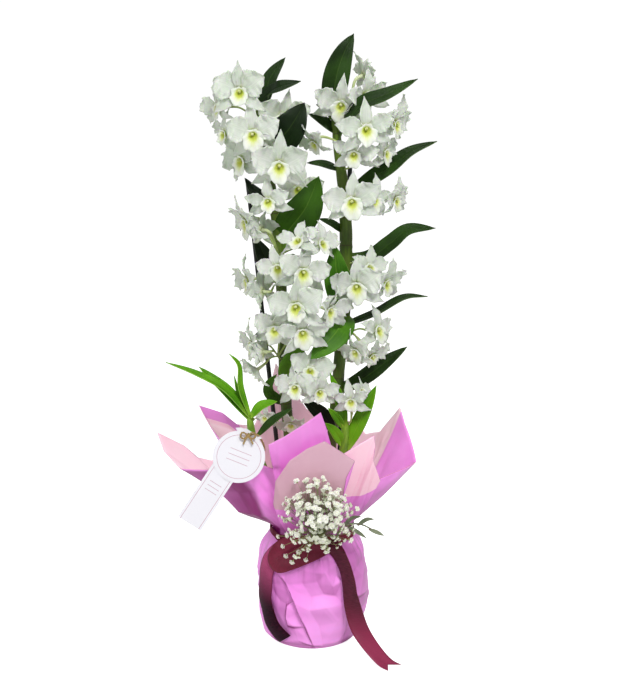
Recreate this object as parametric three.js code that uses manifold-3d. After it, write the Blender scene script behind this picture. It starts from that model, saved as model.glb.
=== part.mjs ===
// A potted dendrobium orchid, wrapped as a gift: two canes in bloom and two young shoots in a
// nursery pot, with film, ribbon, baby's breath and a tag round it.
// Millimetres, +Z up, +X to the right, -Y to the front. The origin is the middle of the base.
import * as THREE from "three";
import { mergeVertices } from "three/addons/utils/BufferGeometryUtils.js";
import Module from "manifold-3d";

const wasm = await Module();
wasm.setup();

// ---------------------------------------------------------------- driving dimensions

const GAP = 0.3; // air between pieces that touch
const FILM = 0.8; // wrapping film
const LEAF = 1.2; // leaf blade
const PETAL = 0.8; // petal and sepal
const CARD = 0.8;
const RIBBON = 0.8;
const RIBBON_WIDTH = 19;
const LEFT_TAIL_WIDTH = 24;

const POT = { height: 100, floor: 2.5, wall: 1.5, footRadius: 41, rimRadius: 54.5, lip: 2, lipHeight: 8 };
const POT_BASE = FILM + GAP; // the pot stands on the film
const BARK_TOP = 88;
const DRAIN = { radius: 4, ring: 24, count: 4 };

// Radius of the wrapped bag at each height, up to the tied neck.
const BAG = [
  [0, 52],
  [6, 57.5],
  [24, 62.5],
  [52, 65],
  [84, 64],
  [102, 60.5],
  [112, 53.5],
  [119, 41.5],
  [142, 41],
];
const BAG_SIDES = 18;
const PLEAT = 1.6; // every other column of the bag is drawn in by this

// Radii of the sheets that are tied one over the other at the neck, and of the ribbon round them.
const NECK = {
  low: 120, high: 134, collar: 43, frontFlap: 44.7, rightFold: 46.2, frontFold: 47.7, band: 49.5,
};

// Canes: points up the stem [x, y, z] and the radius there.
const CANE_LEFT = {
  points: [[-16, 4, 34], [-19, 3, 110], [-26, 0, 231], [-30, 0, 290], [-31, 0, 340], [-33, 1, 395],
    [-37, 2, 460], [-44, 2, 520], [-52, 3, 570], [-58, 3, 606]],
  radii: [4.6, 5, 5.4, 5.8, 6.8, 6.6, 6, 5.4, 4.6, 3.4],
};
const CANE_RIGHT = {
  points: [[19, 10, 34], [20, 10, 110], [23, 10, 228], [29, 10, 293], [35, 10, 368], [38, 10, 447],
    [36, 10, 502], [29, 10, 556], [24, 10, 600]],
  radii: [4.8, 5.2, 5.6, 6, 7, 8, 7.4, 6, 3.8],
};
const STAKE_RADIUS = 2.6;
const STAKES = {
  left: [[-21, 17, 22], [-70, 17, 520]],
  right: [[26, 18, 22], [43, 24, 560]],
};

// Leaves: spine [x, y, z] from the cane outwards, width, the way the upper side looks at the
// base and at the tip, and the fold along the midrib in degrees.
const LEAVES = {
  left_top: { spine: [[-56, 4, 592], [-51, 10, 612], [-44, 12, 632], [-28, 16, 653]], width: 17,
    face: [[0, -1, 0.3], [0, -1, 0.2]], fold: 14 },
  left_bent: { spine: [[-56, 4, 593], [-53, 3, 606], [-45, -2, 615], [-33, -16, 621], [-11, -12, 627]],
    width: 17, face: [[-0.3, -1, 0.4], [0, -0.9, 0.8]], fold: 18 },
  left_dark: { spine: [[-50, 2, 548], [-38, -12, 562], [-22, -19, 580], [-7, -16, 605]], width: 38,
    face: [[0.2, -1, 0.2], [0.1, -1, 0.1]], fold: 12 },
  left_large: { spine: [[-37, 4, 452], [-25, -4, 470], [-6, -17, 496], [8, -24, 529]], width: 41,
    face: [[0.1, -1, 0.25], [0.2, -1, 0.15]], fold: 12 },
  left_bit: { spine: [[-43, 2, 500], [-63, 8, 513], [-73, 9, 526]], width: 11,
    face: [[0, -1, 0.4], [-0.2, -1, 0.4]], fold: 15 },
  left_shade: { spine: [[-35, 1, 416], [-50, 7, 438], [-63, 8, 462]], width: 19,
    face: [[-0.1, -1, 0.3], [-0.2, -1, 0.2]], fold: 15 },
  left_low: { spine: [[-30, 0, 297], [-23, -13, 323], [-8, -16, 348]], width: 25,
    face: [[0.2, -1, 0.3], [0.2, -1, 0.2]], fold: 14 },
  left_round: { spine: [[-29, 0, 274], [-47, -9, 288], [-48, -13, 299], [-39, -13, 311]], width: 13,
    face: [[0, -1, 0.2], [0, -1, 0]], fold: 12 },
  right_tip: { spine: [[25, 10, 588], [24, 9, 614], [28, 7, 638], [35, 6, 658], [45, 9, 677]], width: 29,
    face: [[-0.1, -1, 0.1], [0, -1, 0]], fold: 12 },
  right_arch: { spine: [[28, 10, 562], [38, -15, 586], [53, -27, 603], [76, -29, 612], [111, -20, 629]],
    width: 19, face: [[-0.5, -0.6, 0.7], [0.1, -1, 0.5]], fold: 18 },
  right_upper: { spine: [[36, 10, 502], [60, 12, 521], [86, 12, 538], [108, 10, 554], [136, 10, 565]],
    width: 20, face: [[-0.3, -1, 0.3], [-0.2, -0.8, 0.9]], fold: 16 },
  right_mid: { spine: [[38, 10, 439], [64, 5, 440], [86, 3, 455], [105, 2, 470], [136, 2, 472]], width: 19,
    face: [[-0.2, -0.9, 0.6], [0.1, -1, 0.5]], fold: 18 },
  right_lower: { spine: [[35, 10, 362], [70, 6, 376], [104, 4, 395], [129, 4, 396]], width: 15,
    face: [[-0.2, -0.45, 1], [0, -0.45, 1]], fold: 14 },
  right_foot: { spine: [[29, 10, 286], [57, 3, 302], [82, 1, 321], [107, 0, 340]], width: 20,
    face: [[-0.4, -1, 0.5], [-0.2, -1, 0.6]], fold: 16 },
  right_spur: { spine: [[25, 10, 592], [14, 17, 599], [5, 20, 604]], width: 7,
    face: [[0, -0.6, 1], [0, -0.6, 1]], fold: 14 },
  right_stub: { spine: [[27, 10, 574], [12, 13, 587], [-3, 15, 594]], width: 12,
    face: [[0, -1, 0.6], [0, -1, 0.6]], fold: 14 },
  right_back: { spine: [[32, 10, 534], [12, 12, 541], [-5, 12, 542]], width: 9,
    face: [[0, -1, 0.6], [0, -1, 0.6]], fold: 14 },
  right_inner: { spine: [[37, 10, 466], [22, 6, 477], [8, 6, 482]], width: 9,
    face: [[0, -1, 0.6], [0, -1, 0.6]], fold: 14 },
  front_upper: { spine: [[36, 10, 386], [31, -12, 404], [27, -20, 426], [25, -20, 456]], width: 31,
    face: [[0.1, -1, 0.5], [0, -1, 0.1]], fold: 10 },
  front_lower: { spine: [[35, 10, 376], [31, -18, 366], [16, -33, 350], [-1, -39, 334]], width: 33,
    face: [[0.3, -0.8, 0.8], [-0.1, -1, 0.3]], fold: 10 },
  foot_dark: { spine: [[24, 10, 240], [12, -4, 262], [-11, -4, 280]], width: 18,
    face: [[-0.4, -1, 0.4], [-0.3, -1, 0.5]], fold: 12 },
};

// Young shoots: stem points, radii, and leaves that grow together with the stem.
const SHOOTS = {
  left: {
    stem: [[-24, -12, 70], [-27, -18, 132], [-37, -33, 200], [-53, -44, 246], [-68, -48, 273]],
    radii: [2.6, 2.8, 3.2, 4.2, 3.6],
    leaves: [
      { spine: [[-66, -48, 270], [-95, -55, 306], [-124, -58, 323], [-155, -58, 335]], width: 10,
        face: [[0.5, -0.5, 0.7], [0.2, -0.6, 0.8]], fold: 20 },
      { spine: [[-64, -46, 266], [-92, -46, 300], [-122, -43, 327]], width: 15,
        face: [[0.5, -1, 0.4], [0.4, -0.8, 0.6]], fold: 26 },
      { spine: [[-67, -48, 272], [-77, -51, 306], [-78, -55, 332], [-87, -61, 345]], width: 9,
        face: [[1, -0.6, 0], [0.8, -0.8, 0.3]], fold: 20 },
      { spine: [[-67, -47, 274], [-79, -46, 298], [-84, -44, 318]], width: 4.5,
        face: [[0, -1, 0], [0, -1, 0]], fold: 10 },
      { spine: [[-66, -49, 272], [-53, -56, 287], [-37, -54, 291]], width: 12,
        face: [[-0.3, -0.8, 0.7], [0, -0.7, 0.7]], fold: 18 },
      { spine: [[-56, -45, 250], [-40, -48, 270], [-21, -45, 281]], width: 9,
        face: [[-0.5, -0.7, 0.5], [0, -0.7, 0.8]], fold: 18 },
    ],
  },
  right: {
    stem: [[24, -10, 70], [27, -15, 140], [36, -24, 231], [38, -25, 262]],
    radii: [2.8, 3.2, 4.6, 4],
    leaves: [
      { spine: [[37, -25, 252], [32, -29, 284], [19, -35, 320]], width: 11,
        face: [[-0.2, -1, 0.1], [0, -1, 0.1]], fold: 14 },
      { spine: [[38, -23, 226], [58, -29, 272], [71, -31, 303]], width: 18,
        face: [[-0.4, -1, 0.2], [-0.3, -1, 0.2]], fold: 16 },
      { spine: [[36, -26, 252], [27, -33, 268], [18, -38, 279]], width: 9,
        face: [[-0.4, -1, 0.4], [-0.2, -1, 0.5]], fold: 14 },
      { spine: [[35, -25, 232], [26, -33, 250], [15, -38, 262]], width: 12,
        face: [[0.1, -1, 0.4], [0, -1, 0.5]], fold: 14 },
    ],
  },
};

// Sprays: where the stalk leaves its stem, then each bloom as
// [x, y, z of the throat, azimuth, elevation, roll in degrees, reach of its petals].
// Azimuth 0 looks to the front and turns positive to the right.
const SPRAYS = {
  left_1: { on: "left", root: 590, blooms: [
    [-73, -38, 614, -8, 8, 0, 28],
    [-97, -12, 600, -57, -5, 10, 21]] },
  left_2: { on: "left", root: 563, blooms: [
    [-60, -42, 572, -5, -5, 8, 25],
    [-91, -16, 573, -54, -5, -10, 20],
    [-31, -3, 589, 14, -5, -6, 25]] },
  left_3: { on: "left", root: 534, blooms: [
    [-33, -45, 540, 2, -6, -4, 31],
    [-74, -12, 545, -47, -8, 12, 24]] },
  left_4: { on: "left", root: 502, blooms: [
    [-45, -40, 504, -8, -8, 6, 21],
    [-15, -2, 514, 16, -4, -8, 23]] },
  left_5: { on: "left", root: 436, blooms: [
    [-69, -16, 480, -66, -18, 0, 25],
    [-53, -24, 472, -128, 4, 10, 20],
    [-13, -47, 462, -30, 34, 8, 21],
    [10, -40, 459, 47, 16, -12, 21]] },
  left_6: { on: "left", root: 408, blooms: [
    [-35, -42, 434, -14, -6, 10, 21],
    [-9, -48, 430, 12, -8, -6, 25],
    [-68, -14, 416, -68, -14, 6, 24],
    [-52, -26, 406, -124, -6, -8, 20]] },
  left_7: { on: "left", root: 382, blooms: [
    [-16, -54, 394, -6, -4, 5, 31],
    [18, -40, 388, 50, -12, -8, 23]] },
  left_8: { on: "left", root: 326, blooms: [
    [-38, -40, 367, -18, -5, -8, 23],
    [-10, -46, 365, 12, -12, 8, 25],
    [-64, -18, 346, -68, -8, 5, 23],
    [-52, -30, 340, -126, -12, -6, 18],
    [-60, -14, 317, -70, -34, -8, 20]] },
  left_9: { on: "left", root: 284, blooms: [
    [-17, -42, 303, -22, 4, 12, 21],
    [-2, -33, 319, 12, 26, -10, 21],
    [8, -44, 299, 24, -4, -6, 20]] },
  left_10: { on: "left", root: 246, blooms: [
    [-23, -22, 257, -10, -38, 5, 18],
    [-52, -13, 262, -20, -16, -6, 14]] },
  right_1: { on: "right", root: 580, blooms: [
    [32, -7, 603, -12, -18, -8, 24],
    [56, -8, 612, 36, -14, 10, 23],
    [50, 12, 636, 118, 26, 0, 21]] },
  right_2: { on: "right", root: 552, blooms: [
    [56, -44, 577, 10, 0, 6, 25],
    [88, -8, 583, 58, -10, -6, 23],
    [4, -14, 564, -50, -36, 8, 20]] },
  right_3: { on: "right", root: 534, blooms: [
    [45, -32, 552, -8, -12, -6, 21],
    [78, -8, 553, 57, -6, 8, 20]] },
  right_4: { on: "right", root: 514, blooms: [
    [43, -38, 503, -5, -5, 4, 27],
    [66, -22, 504, 38, 0, -8, 21],
    [90, 0, 503, 57, -10, 6, 21]] },
  right_5: { on: "right", root: 430, blooms: [
    [49, -34, 413, -10, -12, 6, 27],
    [62, -22, 431, 26, 20, -8, 20],
    [80, -4, 412, 56, -10, 4, 23]] },
  right_6: { on: "right", root: 352, blooms: [
    [49, -29, 341, -40, -20, 8, 20],
    [72, -8, 360, 50, 8, -6, 23],
    [66, -14, 333, 40, -34, 5, 20]] },
};
const SHOOT_SPRAY = { root: [40, -26, 258], blooms: [
    [43, -42, 288, -8, -6, 5, 19],
    [54, -38, 299, 40, 14, -8, 12]] };

// Tepals of one bloom in their order round the throat, as parts of its reach: angle, half angle
// of the root, length, how far it cups forward and then bends back, and the rows of the blade as
// [place along it, half width].
const SEPAL = { spread: 14, length: 1, cup: 0.14, bend: 0.4, rows: [[0.45, 0.25], [1, 0.04]] };
const PETAL_BLADE = { spread: 20, length: 0.96, cup: 0.34, bend: 0.36, rows: [[0.5, 0.49], [1, 0.3]] };
const TEPALS = [
  { angle: 22, ...PETAL_BLADE },
  { angle: 90, ...SEPAL, cup: 0.2, bend: 0.34 },
  { angle: 158, ...PETAL_BLADE },
  { angle: 212, ...SEPAL },
  { angle: 328, ...SEPAL },
];
const TEPAL_ROOT = 0.13; // the tepals start on a ring of this radius
// The lip, a funnel: rim radius and reach forward at its lower and upper side, and its wall.
const LIP = { sides: 5, radius: 0.42, lower: 0.4, upper: 0.3, drop: 0.08, wall: 0.9 };

// Rim of the flared collar: [angle, radius, height]. Angle 0 is +X, 90 the back, 180 the left.
const COLLAR_RIM = [
  [0, 106, 250], [8, 102, 266], [14, 94, 250], [22, 86, 232], [40, 84, 222], [58, 92, 232],
  [76, 84, 226], [95, 80, 246], [112, 76, 282], [124, 77, 307], [132, 79, 267], [142, 88, 232],
  [152, 101, 236], [159, 113, 252], [166, 136, 263], [171, 122, 246], [175, 104, 226], [179, 102, 211],
  [182, 115, 208], [185, 130, 214], [187.5, 146, 231], [190, 174, 249], [193, 168, 230], [197.6, 152, 212],
  [204.8, 119, 212], [215.6, 96, 213], [227, 79, 220], [237, 70, 216], [252, 53, 186], [270, 51, 178],
  [289, 53, 180], [308, 62, 188], [326, 86, 200], [344, 121, 216],
];
const COLLAR_BELLY = { radius: 0.42, height: 0.34 }; // how early the flare starts
// At the front left the film bulges low over the ribbon before it flares: parts of the way out and up.
const COLLAR_BOWL = { from: 186, to: 228, ease: 12, radius: [0, 0.39, 0.62, 1], height: [0, 0.26, 0.64, 1] };

// Loose flaps: the angles of the foot at the neck, and the rim from left to right.
const FLAPS = {
  front_flap: { radius: "frontFlap", foot: [228, 306], belly: -6, rim: [[-46, -75, 249], [-29, -76, 258],
    [-10, -78, 271], [10, -78, 285], [16, -75, 267], [21, -71, 246], [29, -60, 212]] },
  right_fold: { radius: "rightFold", foot: [285, 333], belly: -9, rim: [[27, -80, 222], [30, -81, 238],
    [49, -77, 249], [67, -72, 258], [68, -74, 246], [66, -76, 231], [70, -76, 220], [74, -74, 208]] },
  front_fold: { radius: "frontFold", foot: [236, 300], belly: -12, rim: [[-41, -74, 181], [-38, -82, 211],
    [-23, -87, 235], [-4, -89, 249], [14, -89, 257], [30, -88, 246], [46, -86, 234], [37, -86, 216]] },
};

// Ribbon routes.
const BAND = { low: 120, high: 133 };
// Routes on the bag as [angle, height], and how far they stand off it along the way.
const LEFT_TAIL = [[251, 123], [238, 118], [224, 108], [218, 92], [217, 72], [218, 50], [226, 27], [239, 11]];
const LEFT_TAIL_LIFT = [0, 2.4, 2.6, 2.6, 2.6, 2.6, 2.6, 2.6];
const LOOP = [[268, 128], [252, 124], [238, 119], [231, 111], [237, 105], [250, 109], [267, 113], [281, 115]];
const LOOP_LIFT = [0.1, 4, 6, 7.5, 7.5, 7.5, 7, 6.5];
const RIGHT_TAIL = {
  route: [[17.2, -47.6, 128], [30, -58, 116], [39, -67, 97], [43, -70, 74], [47, -71, 54], [54, -75, 34],
    [70, -82, 12], [82, -90, 2.4], [91, -97, 1]],
  across: [[0.95, 0.31, 0.1], [0.75, -0.5, 0.3], [0.75, -0.66, 0.05], [0.75, -0.66, 0.05], [0.95, -0.3, 0.1],
    [1, 0.1, 0.15], [0.85, 0.52, 0.1], [0.78, 0.62, 0.02], [0.75, 0.65, 0]],
  width: 20,
  notch: 9,
};

// Baby's breath: stems fan out from the knot to heads round a middle.
const BREATH = {
  knot: [5.2, -51.6, 126], middle: [8, -94, 172], reach: [36, 24, 34], core: [15, 9, 14],
  heads: 32, headRadius: [2.8, 3.9], stemRadius: 0.8, seed: 11,
};
const SPRIG = {
  stem: [[27.8, -42.9, 127], [30, -53, 141], [38, -68, 156], [54, -71, 157], [68, -74, 151]],
  leaves: [[[34, -66, 152], [44, -70, 164], [54, -76, 168]], [[38, -67, 154], [50, -70, 148], [60, -76, 143]],
    [[50, -71, 156], [60, -74, 164], [68, -76, 165]], [[62, -74, 153], [70, -75, 150], [79, -76, 146]]],
  leafWidth: 5,
};

// The tag: both cards hang from one hole, in planes that lean back a little.
const TAG = {
  hole: [-68, -70, 258], holeRadius: 3, down: [-0.53, -0.1, -0.84], face: [0.12, -0.98, 0.16],
  roundRadius: 28, roundDrop: 25, ear: 9, roundTurn: 9, stripLength: 113, stripWidth: 29, stripTurn: -2,
};
const TWINE_RADIUS = 1.1;

// ---------------------------------------------------------------- colours

const surface = (color, roughness = 0.6, metalness = 0) =>
  new THREE.MeshStandardMaterial({ color, roughness, metalness });
const COLOURS = {
  petal: surface(0xeef1ec, 0.55),
  oldLeaf: surface(0x2f4a22, 0.35),
  frontLeaf: surface(0x47772a, 0.35),
  youngLeaf: surface(0x5fa01c, 0.35),
  cane: surface(0x6f7a2c, 0.5),
  stake: surface(0x1c1c1e, 0.5),
  pot: surface(0x222224, 0.55),
  bark: surface(0x5a4030, 0.95),
  filmOutside: surface(0xd873c8, 0.3),
  filmInside: surface(0xf4c9dc, 0.35),
  ribbon: surface(0x6e2440, 0.35),
  card: surface(0xf5f3f7, 0.7),
  twine: surface(0xa98e5c, 0.9),
  breath: surface(0xf2f2e6, 0.8),
  sprig: surface(0x7d8c6c, 0.7),
};

// ---------------------------------------------------------------- geometry helpers

const vec = (p) => new THREE.Vector3(p[0], p[1], p[2]);
const rad = THREE.MathUtils.degToRad;
const lerp = THREE.MathUtils.lerp;
const clamp = THREE.MathUtils.clamp;

// Same draws every time: a small linear generator.
function seeded(seed) {
  let state = seed;
  return () => {
    state = (state * 16807) % 2147483647;
    return state / 2147483647;
  };
}

// Value of a list at t from 0 to 1, straight between its entries.
function along(list, t) {
  const place = clamp(t, 0, 1) * (list.length - 1);
  const i = Math.min(Math.floor(place), list.length - 2);
  return lerp(list[i], list[i + 1], place - i);
}

function onRing(angle, radius, height) {
  return new THREE.Vector3(radius * Math.cos(rad(angle)), radius * Math.sin(rad(angle)), height);
}

function geometryFrom(positions, triangles) {
  const geometry = new THREE.BufferGeometry();
  const numbers = positions.flatMap((p) => p.toArray());
  geometry.setAttribute("position", new THREE.Float32BufferAttribute(numbers, 3));
  geometry.setIndex(triangles.flat());
  geometry.computeVertexNormals();
  return geometry;
}

// Gives a triangulated sheet its thickness: both faces are split alike, and open edges get walls.
function thicken(points, triangles, thickness) {
  const normals = points.map(() => new THREE.Vector3());
  const edges = new Map();
  for (const [a, b, c] of triangles) {
    const normal = points[b].clone().sub(points[a]).cross(points[c].clone().sub(points[a]));
    [a, b, c].forEach((corner) => normals[corner].add(normal));
    [[a, b], [b, c], [c, a]].forEach(([from, to]) => edges.set(from + "," + to, [from, to]));
  }
  normals.forEach((normal) => normal.setLength(thickness / 2));
  const size = points.length;
  const faces = triangles.flatMap(([a, b, c]) => [[a, b, c], [a + size, c + size, b + size]]);
  for (const [from, to] of edges.values()) {
    if (edges.has(to + "," + from)) continue;
    faces.push([to, from, from + size], [to, from + size, to + size]);
  }
  const front = points.map((p, i) => p.clone().add(normals[i]));
  const back = points.map((p, i) => p.clone().sub(normals[i]));
  return geometryFrom([...front, ...back], faces);
}

// A sheet over a grid of points. Closed grids run round.
function slab(grid, thickness, closed = false) {
  const cols = grid[0].length;
  const at = (i, j) => i * cols + (j % cols);
  const triangles = [];
  for (let i = 0; i < grid.length - 1; i++) {
    for (let j = 0; j < (closed ? cols : cols - 1); j++) {
      triangles.push([at(i, j), at(i + 1, j), at(i + 1, j + 1)], [at(i, j), at(i + 1, j + 1), at(i, j + 1)]);
    }
  }
  return thicken(grid.flat(), triangles, thickness);
}

// A round bar along a smooth curve, its radius taken from a list.
function bar(points, radii, sides, steps) {
  const curve = new THREE.CatmullRomCurve3(points.map(vec), false, "centripetal");
  const { normals, binormals } = curve.computeFrenetFrames(steps, false);
  const positions = [];
  const triangles = [];
  for (let i = 0; i <= steps; i++) {
    const centre = curve.getPointAt(i / steps);
    const radius = along(radii, i / steps);
    for (let k = 0; k < sides; k++) {
      const turn = (2 * Math.PI * k) / sides;
      positions.push(centre.clone().addScaledVector(normals[i], radius * Math.cos(turn))
        .addScaledVector(binormals[i], radius * Math.sin(turn)));
    }
  }
  for (let i = 0; i < steps; i++) {
    for (let k = 0; k < sides; k++) {
      const next = (k + 1) % sides;
      const [a, b, c, d] = [i * sides + k, i * sides + next, (i + 1) * sides + next, (i + 1) * sides + k];
      triangles.push([a, b, c], [a, c, d]);
    }
  }
  const last = steps * sides;
  for (let k = 1; k < sides - 1; k++) {
    triangles.push([0, k + 1, k], [last, last + k, last + k + 1]);
  }
  return geometryFrom(positions, triangles);
}

// A three.js geometry as a manifold solid, and back.
function solid(geometry) {
  const bare = geometry.clone();
  bare.deleteAttribute("normal");
  bare.deleteAttribute("uv");
  const merged = mergeVertices(bare, 1e-4);
  return new wasm.Manifold(new wasm.Mesh({
    numProp: 3,
    vertProperties: merged.attributes.position.array,
    triVerts: new Uint32Array(merged.index.array),
  }));
}

function geometryOf(body) {
  const { vertProperties, triVerts } = body.getMesh();
  const geometry = new THREE.BufferGeometry();
  geometry.setAttribute("position", new THREE.Float32BufferAttribute(vertProperties, 3));
  geometry.setIndex(new THREE.Uint32BufferAttribute(triVerts, 1));
  geometry.computeVertexNormals();
  return geometry;
}

const join = (geometries) => geometries.map(solid).reduce((sum, next) => sum.add(next));

// What is left after a cut, without the loose scraps.
function largest(body) {
  return body.decompose().reduce((best, next) => (next.volume() > best.volume() ? next : best));
}

const plant = new THREE.Group();
const group = new THREE.Group();
group.add(plant);

function node(name, body, material, parent = group) {
  const mesh = new THREE.Mesh(body.isBufferGeometry ? body : geometryOf(body), material);
  mesh.name = name;
  parent.add(mesh);
}

// ---------------------------------------------------------------- stems

const CANE_SIDES = 8;
const CANE_STEPS = 12;
const cane = (spec, extra = 0) => bar(spec.points, spec.radii.map((r) => r + extra), CANE_SIDES, CANE_STEPS);
const shootStem = (spec, extra = 0) => bar(spec.stem, spec.radii.map((r) => r + extra), 6, 5);
const stake = (ends, extra = 0) => bar(ends, [STAKE_RADIUS + extra, STAKE_RADIUS + extra], 8, 1);

const canes = { left: CANE_LEFT, right: CANE_RIGHT };
const clearance = {
  left: solid(cane(CANE_LEFT, GAP)),
  right: solid(cane(CANE_RIGHT, GAP)),
};
node("cane_left", cane(CANE_LEFT), COLOURS.cane, plant);
node("cane_right", cane(CANE_RIGHT), COLOURS.cane, plant);
node("stake_left", stake(STAKES.left), COLOURS.stake, plant);
node("stake_right", stake(STAKES.right), COLOURS.stake, plant);

// ---------------------------------------------------------------- leaves

// Width of a leaf along its length, 0 at the base and 1 at the tip.
const leafShape = (t) => Math.max(0.06, Math.sin(Math.PI * (0.1 + 0.9 * t)) ** 0.8);

function blade({ spine, width, face, fold }, rows = 5, columns = [-1, 0, 1]) {
  const curve = new THREE.CatmullRomCurve3(spine.map(vec), false, "centripetal");
  const grid = [];
  for (let i = 0; i < rows; i++) {
    const t = i / (rows - 1);
    const centre = curve.getPointAt(t);
    const look = vec(face[0]).lerp(vec(face[1]), t);
    const across = curve.getTangentAt(t).cross(look).normalize();
    const up = across.clone().cross(curve.getTangentAt(t)).normalize();
    const half = (width / 2) * leafShape(t);
    grid.push(columns.map((side) => centre.clone().addScaledVector(across, side * half * Math.cos(rad(fold)))
      .addScaledVector(up, Math.abs(side) * half * Math.sin(rad(fold)))));
  }
  return slab(grid, LEAF);
}

for (const [name, spec] of Object.entries(LEAVES)) {
  const side = name.startsWith("left") ? "left" : "right";
  const colour = /front|large|tip|low|round/.test(name) ? COLOURS.frontLeaf : COLOURS.oldLeaf;
  node("leaf_" + name, largest(solid(blade(spec)).subtract(clearance[side])), colour, plant);
}

for (const [side, spec] of Object.entries(SHOOTS)) {
  const pieces = [shootStem(spec), ...spec.leaves.map((leaf) => blade(leaf, 4))];
  node("shoot_" + side, largest(join(pieces)), COLOURS.youngLeaf, plant);
}

// ---------------------------------------------------------------- blooms

// The axes of a bloom: out of the throat, to its right, and up.
function bloomAxes([x, y, z, azimuth, elevation, roll]) {
  const [a, e] = [rad(azimuth), rad(elevation)];
  const out = new THREE.Vector3(Math.sin(a) * Math.cos(e), -Math.cos(a) * Math.cos(e), Math.sin(e));
  const right = new THREE.Vector3(0, 0, 1).cross(out).normalize().applyAxisAngle(out, rad(roll));
  const up = out.clone().cross(right);
  const throat = new THREE.Vector3(x, y, z);
  // A point at an angle round the throat, a distance from its axis and a distance forward.
  const place = (angle, radius, forward) => throat.clone()
    .addScaledVector(right, radius * Math.cos(rad(angle)))
    .addScaledVector(up, radius * Math.sin(rad(angle)))
    .addScaledVector(out, forward);
  return { throat, out, right, up, place };
}

// The five tepals, as one sheet round a small disc.
function tepals(axes, reach) {
  const points = [];
  const triangles = [];
  const ring = [];
  for (const { angle, spread, length, cup, bend, rows } of TEPALS) {
    const across = axes.place(angle + 90, 1, 0).sub(axes.throat);
    let [left, right] = [-1, 1].map((side) =>
      points.push(axes.place(angle + side * spread, reach * TEPAL_ROOT, 0)) - 1);
    ring.push(left, right);
    for (const [s, half] of rows) {
      const forward = reach * length * (cup * s - bend * s * s);
      const [nextLeft, nextRight] = [-1, 1].map((side) =>
        points.push(axes.place(angle, reach * lerp(TEPAL_ROOT, length, s), forward)
          .addScaledVector(across, reach * half * side)) - 1);
      triangles.push([left, nextLeft, nextRight], [left, nextRight, right]);
      [left, right] = [nextLeft, nextRight];
    }
  }
  for (let k = 1; k < ring.length - 1; k++) {
    triangles.push([ring[0], ring[k], ring[k + 1]]);
  }
  return thicken(points, triangles, PETAL);
}

// The lip: a funnel with a slanting rim.
function lip(axes, reach) {
  const { sides, radius, lower, upper, drop, wall } = LIP;
  const centre = axes.place(-90, reach * drop, 0).sub(axes.throat);
  const ring = (inset) => Array.from({ length: sides }, (_, k) => {
    const angle = (360 * (k + 0.5)) / sides;
    const forward = lerp(lower, upper, (1 + Math.sin(rad(angle))) / 2);
    return axes.place(angle, reach * radius - inset, reach * forward).add(centre);
  });
  const apex = [axes.place(0, 0, 0.1), axes.place(0, 0, 2 * wall)];
  const triangles = [];
  for (let k = 0; k < sides; k++) {
    const [outer, outerNext] = [2 + k, 2 + ((k + 1) % sides)];
    const [inner, innerNext] = [outer + sides, outerNext + sides];
    triangles.push([0, outerNext, outer], [1, inner, innerNext]);
    triangles.push([outer, outerNext, innerNext], [outer, innerNext, inner]);
  }
  return geometryFrom([...apex, ...ring(0), ...ring(wall)], triangles);
}

const FORK_REACH = 14; // from the axis of the cane to where the stalks part
const SHOOT_FORK_REACH = 6;
const STALK = { radius: 1.1, back: 0.42, bow: 3, steps: 3 };

// Axis of a stalk from its start, which is one point or two, to the back of its bloom.
function stalkRoute(axes, reach, start) {
  const behind = axes.throat.clone().addScaledVector(axes.out, -STALK.back * reach);
  const bow = behind.clone().lerp(start[start.length - 1], 0.5).add(new THREE.Vector3(0, 0, STALK.bow));
  return [...start, bow, behind, axes.place(0, 0, -0.1)];
}

// A spray of blooms: the first stalk grows from the root, and the others leave it at its first bend.
function spray(root, blooms, forkReach) {
  const middle = blooms.reduce((sum, b) => sum.add(vec(b)), new THREE.Vector3()).divideScalar(blooms.length);
  const outward = middle.clone().sub(root).setZ(0).normalize();
  const fork = root.clone().addScaledVector(outward, forkReach).add(new THREE.Vector3(0, 0, 4));
  const pieces = [];
  let start = [root, fork];
  for (const spec of blooms) {
    const axes = bloomAxes(spec);
    const reach = spec[6];
    const route = stalkRoute(axes, reach, start);
    const steps = STALK.steps + start.length - 1;
    const radii = [STALK.radius, STALK.radius, 1.8 * STALK.radius];
    pieces.push(bar(route.map((p) => p.toArray()), radii, 3, steps), lip(axes, reach), tepals(axes, reach));
    if (start.length > 1) {
      const curve = new THREE.CatmullRomCurve3(route, false, "centripetal");
      start = [curve.getPointAt(1 / steps)];
    }
  }
  return join(pieces);
}

// Point on the axis of a cane at a height.
function onCane(spec, height) {
  const i = clamp(spec.points.findIndex((p) => p[2] >= height), 1, spec.points.length - 1);
  const [low, high] = [vec(spec.points[i - 1]), vec(spec.points[i])];
  return low.lerp(high, (height - low.z) / (high.z - low.z));
}

for (const [name, { on, root, blooms }] of Object.entries(SPRAYS)) {
  const body = spray(onCane(canes[on], root), blooms, FORK_REACH).subtract(clearance[on]);
  node("spray_" + name, largest(body), COLOURS.petal, plant);
}
const shootClearance = {
  left: solid(shootStem(SHOOTS.left, GAP)),
  right: solid(shootStem(SHOOTS.right, GAP)),
};
const shootSpray = spray(vec(SHOOT_SPRAY.root), SHOOT_SPRAY.blooms, SHOOT_FORK_REACH)
  .subtract(shootClearance.right);
node("spray_shoot", largest(shootSpray), COLOURS.petal, plant);

// ---------------------------------------------------------------- pot and bark

const POT_SIDES = 20;
const potRadius = (height) => lerp(POT.footRadius, POT.rimRadius, height / POT.height);

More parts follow.
